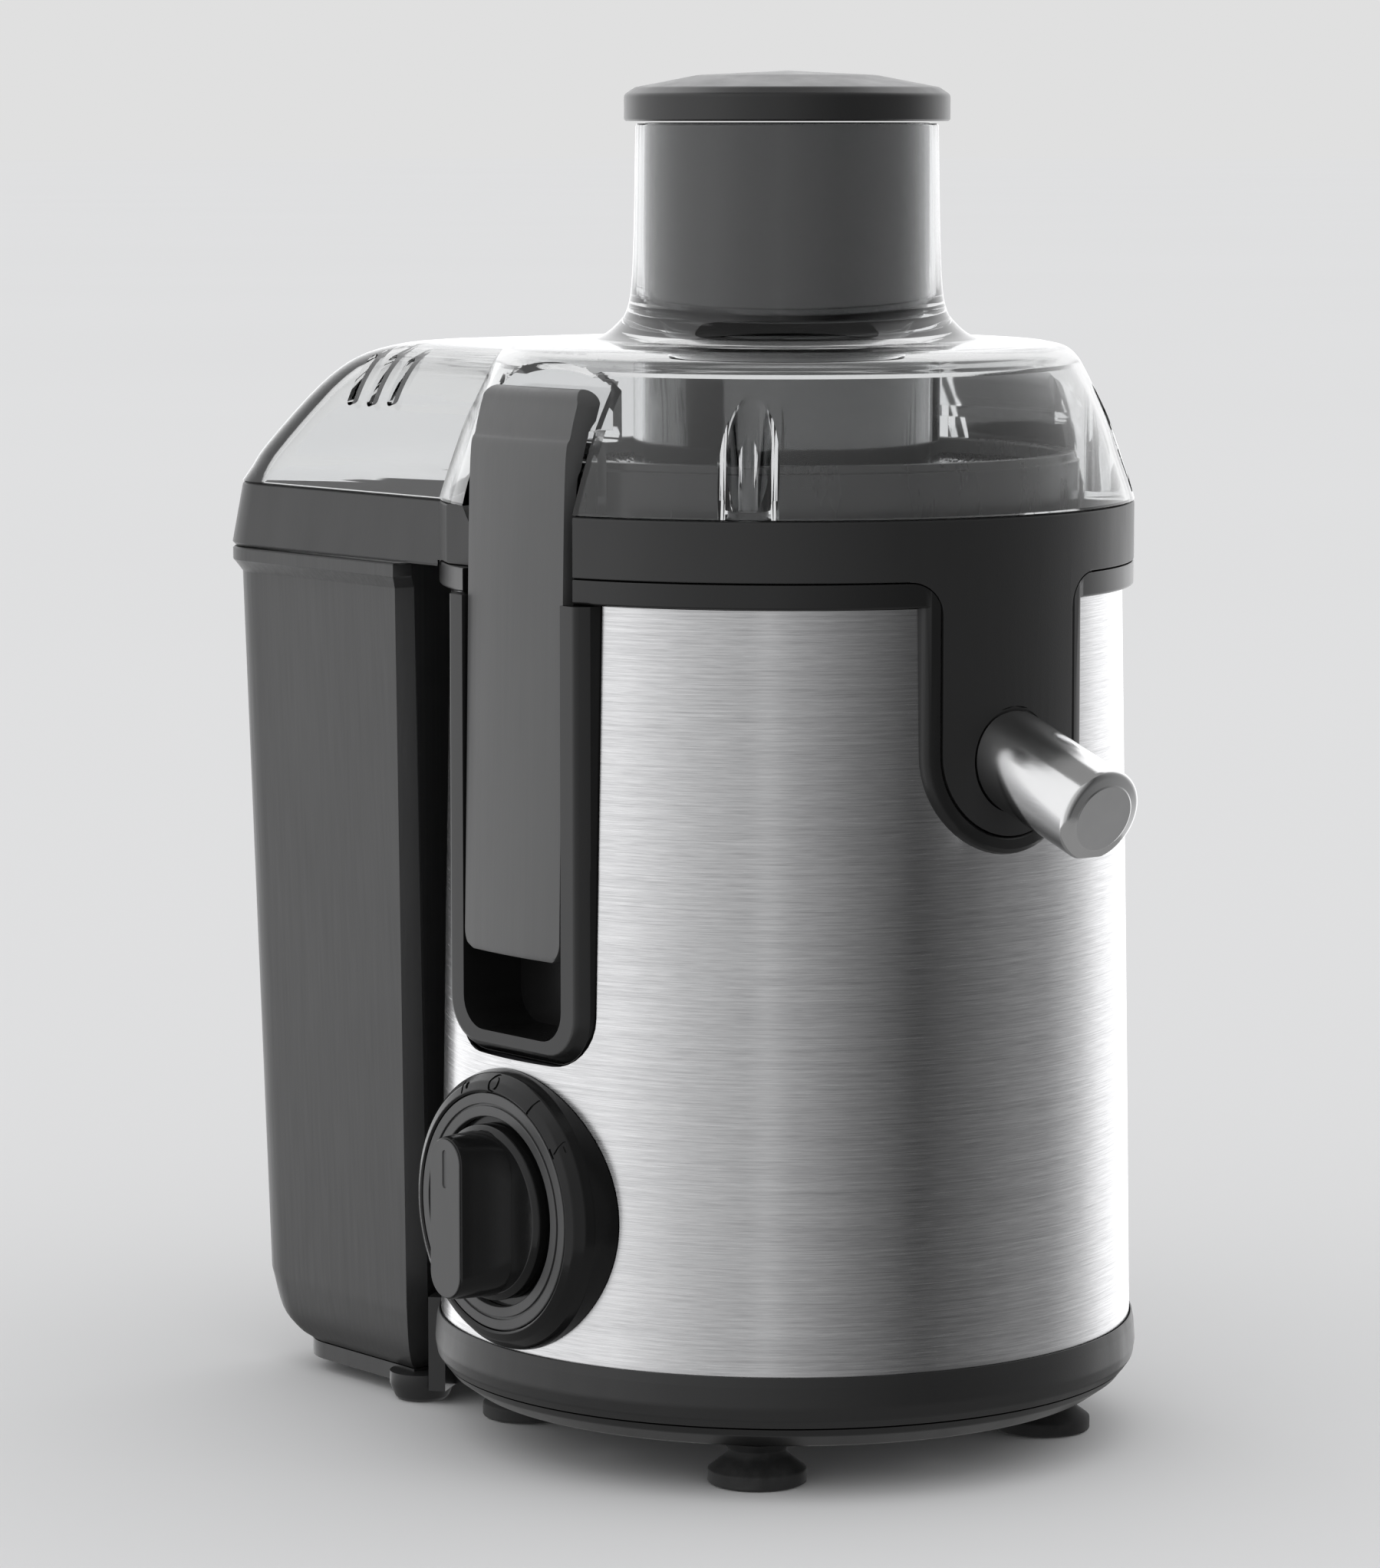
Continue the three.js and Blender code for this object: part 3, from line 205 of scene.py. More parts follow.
def lofted(levels):
    """Skins a stack of outlines of 3-D points, all with the same number of points, and caps it."""
    count = len(levels[0])
    points = [p for level in levels for p in level]
    faces = []
    for row in range(len(levels) - 1):
        for k in range(count):
            after = (k + 1) % count
            low, high = row * count, (row + 1) * count
            faces.append((low + k, low + after, high + after, high + k))
    top = (len(levels) - 1) * count
    faces.append(tuple(reversed(range(count))))
    faces.append(tuple(range(top, top + count)))
    return solid(points, faces)


def prism(outline, axis, low, high, steps=1):
    """Extrudes an outline along "x" (points are y, z), "y" (x, z) or "z" (x, y)."""
    lift = {"x": lambda a, b, c: (c, a, b),
            "y": lambda a, b, c: (a, c, b),
            "z": lambda a, b, c: (a, b, c)}[axis]
    levels = [low + (high - low) * step / steps for step in range(steps + 1)]
    return lofted([[lift(a, b, level) for a, b in outline] for level in levels])


def box(x, y, z):
    return prism([(x[0], y[0]), (x[1], y[0]), (x[1], y[1]), (x[0], y[1])], "z", *z)


def moved(body, matrix):
    body.data.transform(matrix)
    if matrix.determinant() < 0:
        body.data.flip_normals()
    return body


def mirrored(side, body):
    """Pieces are drawn on the left side; the right one is its mirror image."""
    return body if side == LEFT else moved(body, Matrix.Diagonal((-1, 1, 1, 1)))


def along(direction, point, body):
    """Carries a solid made about +Z from the origin to a point, with its +Z along a direction."""
    turn = Vector(direction).to_track_quat("Z", "X").to_matrix().to_4x4()
    return moved(body, Matrix.Translation(point) @ turn)


def about_dial(outline, sides=128):
    """Turns (radius, distance out from the drive axis) about the dial's axis."""
    return along((-1, 0, 0), Vector((0, 0, DIAL_Z)), turned(outline, sides))


def about_spout(outline, sides=96):
    """Turns (radius, distance back from the tip) about the spout's axis."""
    back = Vector((0, math.cos(SPOUT_DROOP), math.sin(SPOUT_DROOP)))
    return along(back, SPOUT_TIP, turned(outline, sides))


def apply_modifiers(body):
    graph = bpy.context.evaluated_depsgraph_get()
    mesh = bpy.data.meshes.new_from_object(body.evaluated_get(graph))
    body.modifiers.clear()
    body.data = mesh
    return body


def combined(body, tools, operation):
    for tool in tools:
        modifier = body.modifiers.new("combine", "BOOLEAN")
        modifier.object = tool
        modifier.operation = operation
        modifier.solver = "MANIFOLD"
        apply_modifiers(body)
        bpy.data.objects.remove(tool)
    return body


def joined(body, *tools):
    return combined(body, tools, "UNION")


def cut(body, *tools):
    return combined(body, tools, "DIFFERENCE")


def common(body, *tools):
    return combined(body, tools, "INTERSECT")


def softened(body, width, segments=3, angle=35):
    """Rounds every edge sharper than the angle."""
    modifier = body.modifiers.new("round", "BEVEL")
    modifier.width = width
    modifier.segments = segments
    modifier.limit_method = "ANGLE"
    modifier.angle_limit = math.radians(angle)
    modifier.use_clamp_overlap = True
    modifier.miter_outer = "MITER_ARC"
    return apply_modifiers(body)


def finished(body, name, look, rides_on, stands_for=(), sharp=32):
    """Names a solid, moves it into the part's frame, and gives it its look and body."""
    body.name = name
    body.data.name = name
    body.data.transform(Matrix.Translation(AXIS) @ Matrix.Scale(MM, 4))
    body.data.polygons.foreach_set("use_smooth", [True] * len(body.data.polygons))
    body.data.set_sharp_from_angle(angle=math.radians(sharp))
    modifier = body.modifiers.new("even shading", "WEIGHTED_NORMAL")
    modifier.keep_sharp = True
    apply_modifiers(body)
    body.data.materials.clear()
    body.data.materials.append(LOOKS[look])
    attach(body, rides_on)
    if stands_for:
        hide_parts(*stands_for)
    return body


# ---------- materials ----------

class Look:
    """A Principled material whose colour, roughness and bump come from procedural nodes."""

    def __init__(self, name, **constants):
        self.material = bpy.data.materials.new(name)
        self.material.use_nodes = True
        self.tree = self.material.node_tree
        self.shader = self.tree.nodes["Principled BSDF"]
        for socket, value in constants.items():
            self.shader.inputs[socket.replace("_", " ")].default_value = value
        self.place = self.node("ShaderNodeTexCoord").outputs["Object"]

    def node(self, kind, inputs=None, **settings):
        made = self.tree.nodes.new(kind)
        for key, value in settings.items():
            setattr(made, key, value)
        for key, value in (inputs or {}).items():
            if isinstance(value, bpy.types.NodeSocket):
                self.tree.links.new(value, made.inputs[key])
            else:
                made.inputs[key].default_value = value
        return made

    def stretched(self, scale):
        """Object coordinates scaled by (x, y, z) per metre."""
        return self.node("ShaderNodeMapping", {"Vector": self.place, "Scale": scale}).outputs["Vector"]

    def noise(self, vector, scale=1.0, detail=3.0, roughness=0.5):
        inputs = {"Vector": vector, "Scale": scale, "Detail": detail, "Roughness": roughness}
        return self.node("ShaderNodeTexNoise", inputs).outputs["Fac"]

    def between(self, value, low, high, start=0.3, stop=0.7):
        """Maps a value from start..stop to low..high."""
        inputs = {"Value": value, "From Min": start, "From Max": stop, "To Min": low, "To Max": high}
        return self.node("ShaderNodeMapRange", inputs).outputs["Result"]

    def math(self, operation, first, second=0.0):
        return self.node("ShaderNodeMath", {0: first, 1: second}, operation=operation).outputs[0]

    def ramp(self, value, *stops):
        made = self.node("ShaderNodeValToRGB", {"Fac": value})
        elements = made.color_ramp.elements
        while len(elements) < len(stops):
            elements.new(1.0)
        for element, (position, color) in zip(elements, stops):
            element.position = position
            element.color = (*color, 1.0)
        return made.outputs["Color"]

    def set(self, socket, value):
        self.tree.links.new(value, self.shader.inputs[socket])

    def bump(self, height, distance, strength=1.0, under=None):
        inputs = {"Height": height, "Distance": distance, "Strength": strength}
        if under is not None:
            inputs["Normal"] = under
        return self.node("ShaderNodeBump", inputs).outputs["Normal"]


def grey(value):
    return (value, value * 1.003, value * 1.012)


def shaded(color, amount):
    return tuple(channel * amount for channel in color)


def plastic(name, color, roughness, grain=0.00002, grain_scale=2600, streak=0.0):
    """Moulded plastic: slight tone drift, fine spark-eroded grain, wiped and dusty patches."""
    look = Look(name, Specular_IOR_Level=0.5)
    drift = look.noise(look.stretched((14, 14, 9)), detail=4)
    fine = look.noise(look.stretched((1, 1, 1)), scale=grain_scale, detail=2)
    look.set("Base Color", look.ramp(drift, (0.3, shaded(color, 0.9)), (0.7, shaded(color, 1.12))))
    wiped = look.noise(look.stretched((70, 70, 16)), detail=5, roughness=0.65)
    lines = look.noise(look.stretched((900, 900, 12)), detail=2)
    mixed = look.math("ADD", look.math("MULTIPLY", wiped, 1 - streak), look.math("MULTIPLY", lines, streak))
    look.set("Roughness", look.between(mixed, roughness * 0.86, roughness * 1.14))
    broad = look.bump(look.noise(look.place, scale=55, detail=1), 0.0001, 0.25)
    look.set("Normal", look.bump(fine, grain, 1.0, broad))
    return look.material


def glossy_black(name):
    """Lacquered black plastic with faint hairline scratches and a soft orange peel."""
    look = Look(name, Specular_IOR_Level=0.32)
    drift = look.noise(look.stretched((22, 22, 22)), detail=4)
    look.set("Base Color", look.ramp(drift, (0.3, grey(0.0035)), (0.7, grey(0.006))))
    hair = look.noise(look.stretched((60, 60, 3500)), detail=2)
    look.set("Roughness", look.between(hair, 0.13, 0.22, 0.35, 0.8))
    look.set("Normal", look.bump(look.noise(look.place, scale=420, detail=1), 0.000025))
    return look.material


def brushed_steel(name):
    """Steel sheet brushed round the body: fine level lines, some longer and deeper than others."""
    look = Look(name, Metallic=1.0, Anisotropic=0.6, Anisotropic_Rotation=0.25)
    apart = look.node("ShaderNodeSeparateXYZ", {"Vector": look.place}).outputs
    across = look.math("SUBTRACT", apart["X"], AXIS.x)
    deep = look.math("SUBTRACT", apart["Y"], AXIS.y)
    turn = look.math("ARCTAN2", deep, across)
    lines = []
    for per_turn, per_metre in ((5.0, 9000.0), (12.0, 3600.0), (1.6, 1500.0)):
        inputs = {"X": look.math("MULTIPLY", turn, per_turn),
                  "Y": look.math("MULTIPLY", apart["Z"], per_metre)}
        flat = look.node("ShaderNodeCombineXYZ", inputs).outputs["Vector"]
        lines.append(look.noise(flat, detail=2, roughness=0.6))
    fine, middle, long_lines = lines
    pattern = look.math("ADD", look.math("MULTIPLY", fine, 0.45), look.math("MULTIPLY", middle, 0.55))
    tone = look.math("ADD", look.math("MULTIPLY", pattern, 0.65), look.math("MULTIPLY", long_lines, 0.35))
    look.set("Base Color", look.ramp(tone, (0.36, (0.52, 0.52, 0.525)), (0.64, (0.86, 0.86, 0.865))))
    look.set("Roughness", look.between(tone, 0.17, 0.30))
    look.set("Normal", look.bump(pattern, 0.00003, 0.6))
    look.set("Tangent", look.node("ShaderNodeTangent", direction_type="RADIAL", axis="Z").outputs["Tangent"])
    return look.material


def bright_metal(name, color, roughness, lines=1400.0):
    """Turned or drawn bright metal with fine tool marks and faint finger smears."""
    look = Look(name, Metallic=1.0)
    smear = look.noise(look.stretched((60, 60, 60)), detail=5, roughness=0.6)
    marks = look.noise(look.stretched((lines, lines / 20, lines)), detail=2)
    look.set("Base Color", look.ramp(smear, (0.3, shaded(color, 0.93)), (0.7, color)))
    look.set("Roughness", look.between(smear, roughness * 0.8, roughness * 1.35))
    look.set("Normal", look.bump(marks, 0.000012, 0.5))
    return look.material


def perforated_steel(name):
    """Etched sieve steel: small dark holes in rows, bright land between them."""
    look = Look(name, Metallic=1.0)
    holes = look.node("ShaderNodeTexVoronoi", {"Vector": look.place, "Scale": 900.0}, feature="F1")
    distance = holes.outputs["Distance"]
    look.set("Base Color", look.ramp(distance, (0.2, grey(0.03)), (0.34, grey(0.62))))
    look.set("Roughness", look.between(distance, 0.7, 0.26, 0.2, 0.4))
    look.set("Normal", look.bump(distance, 0.0003, 0.6))
    return look.material


def clear_plastic(name):
    """Clear moulded plastic with faint flow lines and wipe marks."""
    look = Look(name, Transmission_Weight=1.0, IOR=1.49)
    tint = look.noise(look.stretched((12, 12, 12)), detail=3)
    look.set("Base Color", look.ramp(tint, (0.3, (0.955, 0.965, 0.97)), (0.7, (0.985, 0.99, 0.99))))
    wipe = look.noise(look.stretched((90, 90, 40)), detail=5, roughness=0.7)
    look.set("Roughness", look.between(wipe, 0.015, 0.06, 0.45, 0.75))
    look.set("Normal", look.bump(look.noise(look.place, scale=38, detail=1), 0.0002, 0.12))
    return look.material


def rubber(name):
    """Matt black rubber with a dusty bloom and a pebbled surface."""
    look = Look(name, Specular_IOR_Level=0.35)
    bloom = look.noise(look.stretched((120, 120, 120)), detail=6, roughness=0.7)
    look.set("Base Color", look.ramp(bloom, (0.35, grey(0.012)), (0.75, grey(0.032))))
    look.set("Roughness", look.between(bloom, 0.6, 0.85))
    look.set("Normal", look.bump(look.noise(look.place, scale=1800, detail=2), 0.00006, 0.7))
    return look.material


def mottled(name, dark, light, roughness, metallic=0.0, scale=160.0):
    """Inner parts: laminations, windings, board or carbon, with grain in tone and height."""
    look = Look(name, Metallic=metallic)
    grain = look.noise(look.stretched((scale, scale, 3 * scale)), detail=5, roughness=0.65)
    look.set("Base Color", look.ramp(grain, (0.3, dark), (0.7, light)))
    look.set("Roughness", look.between(grain, roughness * 0.8, roughness * 1.2))
    look.set("Normal", look.bump(grain, 0.0001, 0.5))
    return look.material


LOOKS = {
    "soft_dark_plastic": plastic("soft dark plastic", grey(0.013), 0.40),
    "soft_grey_plastic": plastic("soft grey plastic", grey(0.058), 0.42, streak=0.6),
    "black_plastic": plastic("black plastic", grey(0.006), 0.30, grain=0.000008),
    "gloss_black": glossy_black("gloss black"),
    "grey_trim": plastic("grey trim", grey(0.045), 0.36, grain=0.000012),
    "brushed_steel": brushed_steel("brushed steel"),
    "polished_steel": bright_metal("polished steel", (0.80, 0.80, 0.80), 0.13),
    "bare_steel": bright_metal("bare steel", (0.60, 0.60, 0.61), 0.32, lines=2600.0),
    "clear_plastic": clear_plastic("clear plastic"),
    "perforated_steel": perforated_steel("perforated steel"),
    "basket_plastic": plastic("basket plastic", grey(0.016), 0.26, grain=0.000006),
    "pusher_plastic": plastic("pusher plastic", grey(0.006), 0.16, grain=0.000003),
    "cap_plastic": plastic("cap plastic", grey(0.012), 0.34, grain=0.00001),
    "container_plastic": plastic("container plastic", grey(0.030), 0.44, streak=0.7),
    "rubber": rubber("rubber"),
    "iron": mottled("iron laminations", grey(0.14), grey(0.24), 0.45, metallic=1.0),
    "copper": mottled("enamelled copper", (0.42, 0.17, 0.06), (0.62, 0.27, 0.10), 0.35, metallic=0.9),
    "board": mottled("circuit board", (0.02, 0.10, 0.05), (0.04, 0.16, 0.08), 0.5),
    "carbon": mottled("carbon", grey(0.012), grey(0.03), 0.6, scale=500.0),
}


def dress_cad_nodes():
    """Every node that stays visible gets the full look of its slot."""
    for row in frame["record"]["materials"]:
        for node in row.get("nodes", []):
            shown = frame["nodes"].get(node)
            if shown is not None:
                shown.data.materials.clear()
                shown.data.materials.append(LOOKS[row["slot"]])


# ---------- base ----------

def base_shell():
    outline = rounded([
        (89.6, SKIN_LOW - 11.2), (93.3, SKIN_LOW - 11.2, 0.6), (94.9, 21.6, 2), (BASE_RADIUS, 25, 6),
        (95.1, 30.4, 3), (94.6, 33, 0.6), (94.2, 33, 0.3), (94.2, SKIN_LOW - 0.4), (92.6, SKIN_LOW - 0.4),
        (92.6, 36), (89.6, 36)])
    finished(turned(outline), "base_shell_fine", "soft_dark_plastic", "machine",
             ["base_shell"])


def base_plate():
    low = node_box("base_plate")[0].z
    dish = turned(rounded([
        (0, low), (80, low, 6), (86, 13.2, 4), (91.4, 17, 3), (92.9, 19), (89.2, 19), (89.2, 26), (86.4, 26),
        (86.4, 18.5), (80, 14.5), (0, 14.5)], closed=False))
    slots = []
    for k in range(8):
        slot = prism(rounded_rectangle(24, 44, -2, 2, 1.9, 4), "z", low - 1, 16)
        slots.append(moved(slot, Matrix.Rotation(math.radians(22.5 + 45 * k), 4, "Z")))
    cord_hole = box((-7, 7), (82, 100), (13, 22))
    plate = softened(cut(dish, *slots, cord_hole), 0.3, 2)
    finished(plate, "base_plate_fine", "black_plastic", "machine", ["base_plate"])


def feet():
    for node in ("foot_front_left", "foot_front_right", "foot_rear_right", "foot_rear_left"):
        low, high = node_box(node)
        radius = (high.x - low.x) / 2
        foot = turned(rounded([
            (0, 0.5), (radius - 2.4, 0.5, 1), (radius - 1.2, 0, 0.5), (radius, 0.6, 0.6), (radius, 3.9, 0.9),
            (8.2, 7.6, 3), (7.6, 9.2, 1), (9.7, high.z), (0, high.z)], closed=False), 96)
        moved(foot, Matrix.Translation(((low.x + high.x) / 2, (low.y + high.y) / 2, 0)))
        finished(foot, node + "_fine", "rubber", "machine", [node])


def base_screws():
    for node in ("base_screw_front", "base_screw_right", "base_screw_rear", "base_screw_left"):
        low, high = node_box(node)
        head = turned(rounded([(0, low.z), (3.2, low.z, 1), (3.9, low.z + 0.9, 0.5), (3.9, 11.2, 0.2),
                               (0, high.z)], closed=False), 48)
        cross = [box((-2.2, 2.2), (-0.45, 0.45), (low.z - 1, low.z + 1.3)),
                 box((-0.45, 0.45), (-2.2, 2.2), (low.z - 1, low.z + 1.3))]
        screw = cut(head, *cross)
        moved(screw, Matrix.Translation(((low.x + high.x) / 2, (low.y + high.y) / 2, 0)))
        finished(screw, node + "_fine", "bare_steel", "machine", [node])


# ---------- steel body, trim and collector ----------

def u_outline(half, bottom, top, steps=32):
    """Open-topped U as a closed (x, z) outline with a full round at the bottom."""
    round_end = circle_points(half, steps, math.pi, 2 * math.pi, (0, bottom + half))
    return [(-half, top), *round_end, (half, top)]


def channel_space(side, depth, extra):
    half = CHANNEL_HIGH.y + extra
    outline = rounded_rectangle(-half, half, CHANNEL_LOW.z - extra, 400, CHANNEL_CORNER)
    return mirrored(side, prism(outline, "x", -120, -depth))


def steel_skin():
    thickness = 0.8
    outer = spline(SKIN_OUTLINE, 8)
    shell = turned([*outer, *[(r - thickness, z) for r, z in reversed(outer)]], 256)
    front = prism(u_outline(APRON_HALF + 2.3, APRON_BOTTOM - 2.3, 260), "y", -120, -60)
    spaces = [channel_space(side, 60, 0.4) for side in (LEFT, RIGHT)]
    shaft_hole = along((-1, 0, 0), Vector((-60, 0, DIAL_Z)), turned([(0, 0), (7, 0), (7, 60), (0, 60)], 32))
    skin = cut(shell, front, *spaces, shaft_hole)
    finished(skin, "steel_skin_fine", "brushed_steel", "machine", ["steel_skin"])


def apron_space(grow, top):
    """Apron outline in (x, z), with fillets where it runs into the ring above."""
    half = APRON_HALF + grow
    fillet = APRON_FILLET - grow
    ring = RING_BOTTOM - grow
    left = circle_points(fillet, 10, math.pi / 2, 0, (-half - fillet, ring - fillet))
    right = circle_points(fillet, 10, math.pi, math.pi / 2, (half + fillet, ring - fillet))
    under = circle_points(half, 32, math.pi, 2 * math.pi, (0, APRON_BOTTOM + APRON_HALF))
    return [(-half - fillet, top), *left, *under, *right, (half + fillet, top)]


def arm_recess(side, low, high, depth, half=24):
    return mirrored(side, prism(rounded_rectangle(-half, half, low, high, 0.5, 2), "x", -130, -depth))


def front_frame():
    """Black band round the apron: a swept section that rises from the steel and rolls inward."""
    section = [(0.35, -6.0), (0.35, -0.5), (0.9, 0.0), (FRAME_WIDTH - 1.6, 0.0), (FRAME_WIDTH - 0.5, -0.7),
               (FRAME_WIDTH, -2.0), (FRAME_WIDTH, -6.0)]
    ring_top = TRIM_TOP - 0.5
    rows = []
    for width, rise in section:
        path = u_outline(APRON_HALF + width, APRON_BOTTOM - width, ring_top)
        radius = RING_RADIUS + rise
        rows.append([(x, -math.sqrt(radius ** 2 - x ** 2), z) for x, z in path])
    return lofted(list(zip(*rows)))


def trim_rings():
    low = SKIN_TOP + 0.4
    for name, span in (("front", (-120, 0)), ("rear", (0, 120))):
        ring = turned(rounded([(89.2, low), (RING_RADIUS, low, 0.9), (RING_RADIUS, TRIM_TOP, 0.5),
                               (89.2, TRIM_TOP)]))
        if name == "front":
            ring = joined(ring, front_frame())
            ring = cut(ring, prism(apron_space(0.35, 245), "y", -120, -60))
        recesses = [arm_recess(side, low - 1, TRIM_TOP + 1, 84.5) for side in (LEFT, RIGHT)]
        half = common(cut(ring, *recesses), box((-120, 120), span, (100, 260)))
        finished(half, f"trim_ring_{name}_fine", "black_plastic", "machine",
                 [f"trim_ring_{name}"])


def chute_outline(half, rear, corner, front=0.0, steps=10):
    quarter = math.pi / 2
    return [(half, front), *circle_points(corner, steps, 0, quarter, (half - corner, rear - corner)),
            *circle_points(corner, steps, quarter, math.pi, (corner - half, rear - corner)), (-half, front)]


def at_height(outline, z):
    return [(x, y, z) for x, y in outline]


def juice_collector():
    skirt_low = node_box("pulp_container")[1].z + 0.6
    bowl = turned(rounded([
        (14.8, 200.5), (79, 200.5, 3), (82.4, 206, 3), (83.6, RING_BOTTOM), (RING_RADIUS, RING_BOTTOM, 0.5),
        (RING_RADIUS, SEAM, 0.9), (90.8, SEAM, 0.5), (88, 241, 2), (81, TRIM_TOP + 1, 2), (80, 206.9, 3),
        (78, 203.3), (17.8, 203.3), (17.8, 216, 0.8), (14.8, 216)]))
    tube = turned([(86, 160), (RING_RADIUS, 160), (RING_RADIUS, RING_BOTTOM + 4), (86, RING_BOTTOM + 4)])
    apron = common(prism(apron_space(0, RING_BOTTOM + 3), "y", -100, -60), tube)
    apron = softened(apron, 0.8, 3, 50)
    half, flare, wall = 81, 3, 2.6
    outer = lofted([
        at_height(chute_outline(half - 0.6, SKIRT_REAR - 0.6, 20.4, 42.3), skirt_low),
        at_height(chute_outline(half, SKIRT_REAR, 21, 42.3), skirt_low + 0.7),
        at_height(chute_outline(half - flare, SKIRT_REAR - flare, 18, 42.3), SEAM - 0.6),
        at_height(chute_outline(half - flare - 0.6, SKIRT_REAR - flare - 0.6, 17.4, 42.3), SEAM)])
    inner = lofted([
        at_height(chute_outline(half - wall, SKIRT_REAR - wall, 18.4), skirt_low - 1),
        at_height(chute_outline(half - wall - flare, SKIRT_REAR - wall - flare, 15.4), SEAM + 1)])
    well = turned([(0, 200), (91.5, 200), (91.5, 260), (0, 260)])
    trim_radius = RING_RADIUS + 0.8
    over_trim = turned([(0, 200), (trim_radius, 200), (trim_radius, RING_BOTTOM), (0, RING_BOTTOM)])
    skirt = cut(outer, inner, well, over_trim)
    passage = about_spout([(0, SPOUT_LENGTH + 0.3), (14.4, SPOUT_LENGTH + 0.3), (14.4, 66), (0, 66)])
    inner_radius = RING_RADIUS - 0.2
    passage = common(passage, turned([(0, 150), (inner_radius, 150), (inner_radius, 240), (0, 240)]))
    passage = cut(passage, turned([(0, 203.3), (83, 203.3), (83, 260), (0, 260)]))
    collector = joined(bowl, apron, skirt, passage)
    bore = about_spout([(0, 33), (SPOUT_BORE, 33), (SPOUT_BORE, 68), (0, 68)])
    seat_radius = SPOUT_RADIUS + 0.35
    seat_end = SPOUT_LENGTH + 0.4
    seat = about_spout([(0, 0), (seat_radius, 0), (seat_radius, seat_end), (seat_radius + 0.4, seat_end),
                        (seat_radius + 0.4, seat_end + 2.2), (0, seat_end + 2.2)])
    recesses = [arm_recess(side, 230, 260, 85.4) for side in (LEFT, RIGHT)]
    behind = [mirrored(side, box((-130, -85.4), (20, 42.3), (230, 260))) for side in (LEFT, RIGHT)]
    collector = cut(collector, bore, seat, *recesses, *behind)
    finished(collector, "juice_collector_fine", "soft_dark_plastic", "machine",
             ["juice_collector"])


# ---------- clamps ----------

def clamp_channels():
    for side in (LEFT, RIGHT):
        node = "clamp_channel_" + SIDE_NAMES[side]
        half, low = CHANNEL_HIGH.y, CHANNEL_LOW.z
        face = -CHANNEL_LOW.x
        body = prism(rounded_rectangle(-half, half, low, 176, CHANNEL_CORNER), "x", -89, -69)
        levels = []
        for out, inset in ((84.6, 0), (face - 3.6, 0), (face - 1.2, 1.5), (face - 0.3, 2.3), (face, 3.2)):
            corner = CHANNEL_CORNER - inset
            outline = rounded_rectangle(inset - half, half - inset, low + inset, 260 - inset, corner)
            levels.append([(-out, y, z) for y, z in outline])
        top = box((-120, 0), (-60, 60), (SKIN_TOP, 300))
        slot = prism(rounded_rectangle(-21.4, 21.4, low + CHANNEL_RIM, 300, 8.5), "x", -120, -86.9)
        pocket = prism(rounded_rectangle(-21.4, 21.4, low + CHANNEL_RIM, 173, 8.5), "x", -120, -73.5)
        pin = prism(circle_points(2.35, 24, centre=(-86.4, 160)), "y", -28, 28)
        channel = softened(cut(joined(body, lofted(levels)), top, slot, pocket, pin), 0.5, 2, 60)
        finished(mirrored(side, channel), node + "_fine", "black_plastic", "machine",
                 [node])
        pin = prism(circle_points(2, 32, centre=(-86.4, 160)), "y", -26, 26)
        node = "clamp_pin_" + SIDE_NAMES[side]
        finished(mirrored(side, softened(pin, 0.3, 2)), node + "_fine", "bare_steel",
                 "machine", [node])


def crowned(arm, radius=180):
    """Bows a flat arm across its width, so its edges lean in toward the body."""
    for vertex in arm.data.vertices:
        vertex.co.x += vertex.co.y ** 2 / (2 * radius)
    return arm


def clamp_arms():
    half, low, high = ARM_HIGH.y, ARM_LOW.z, ARM_HIGH.z
    face = -ARM_LOW.x
    for side in (LEFT, RIGHT):
        outer = spline([(-face, low + 2), (-face + 0.9, 190), (-face + 2.2, 262), (-face + 4.2, 274),
                        (-face + 6.5, 282.4)], 8)
        hook = circle_points(3.7, 12, 0.9 * math.pi, 0.0, (-83.5, 282))
        inner = spline([(-81.2, 277.6), (-83.4, 274.5), (-85.9, 266), (-88, 252), (-89.4, 170), (-88.6, 150),
                        (-89.8, low + 1)], 5)
        side_view = prism([*outer, *hook, *inner, (-91, low), (-92.9, low + 0.4)], "y", -half, half, 16)
        front_view = prism(rounded_rectangle(-half, half, low, high + 1, 5.5), "x", -120, -70)
        arm = softened(common(side_view, front_view), 1.1, 4, 40)
        knuckle = prism(circle_points(4.6, 32, centre=(-86.4, 160)), "y", -16, 16)
        web = box((-90, -86.4), (-16, 16), (156, 164))
        bore = prism(circle_points(2.35, 24, centre=(-86.4, 160)), "y", -30, 30)
        arm = cut(joined(crowned(arm), knuckle, web), bore)
        name = SIDE_NAMES[side]
        finished(mirrored(side, arm), f"clamp_arm_{name}_fine", "soft_grey_plastic",
                 f"clamp_{name}", [f"clamp_arm_{name}"])


# ---------- dial ----------

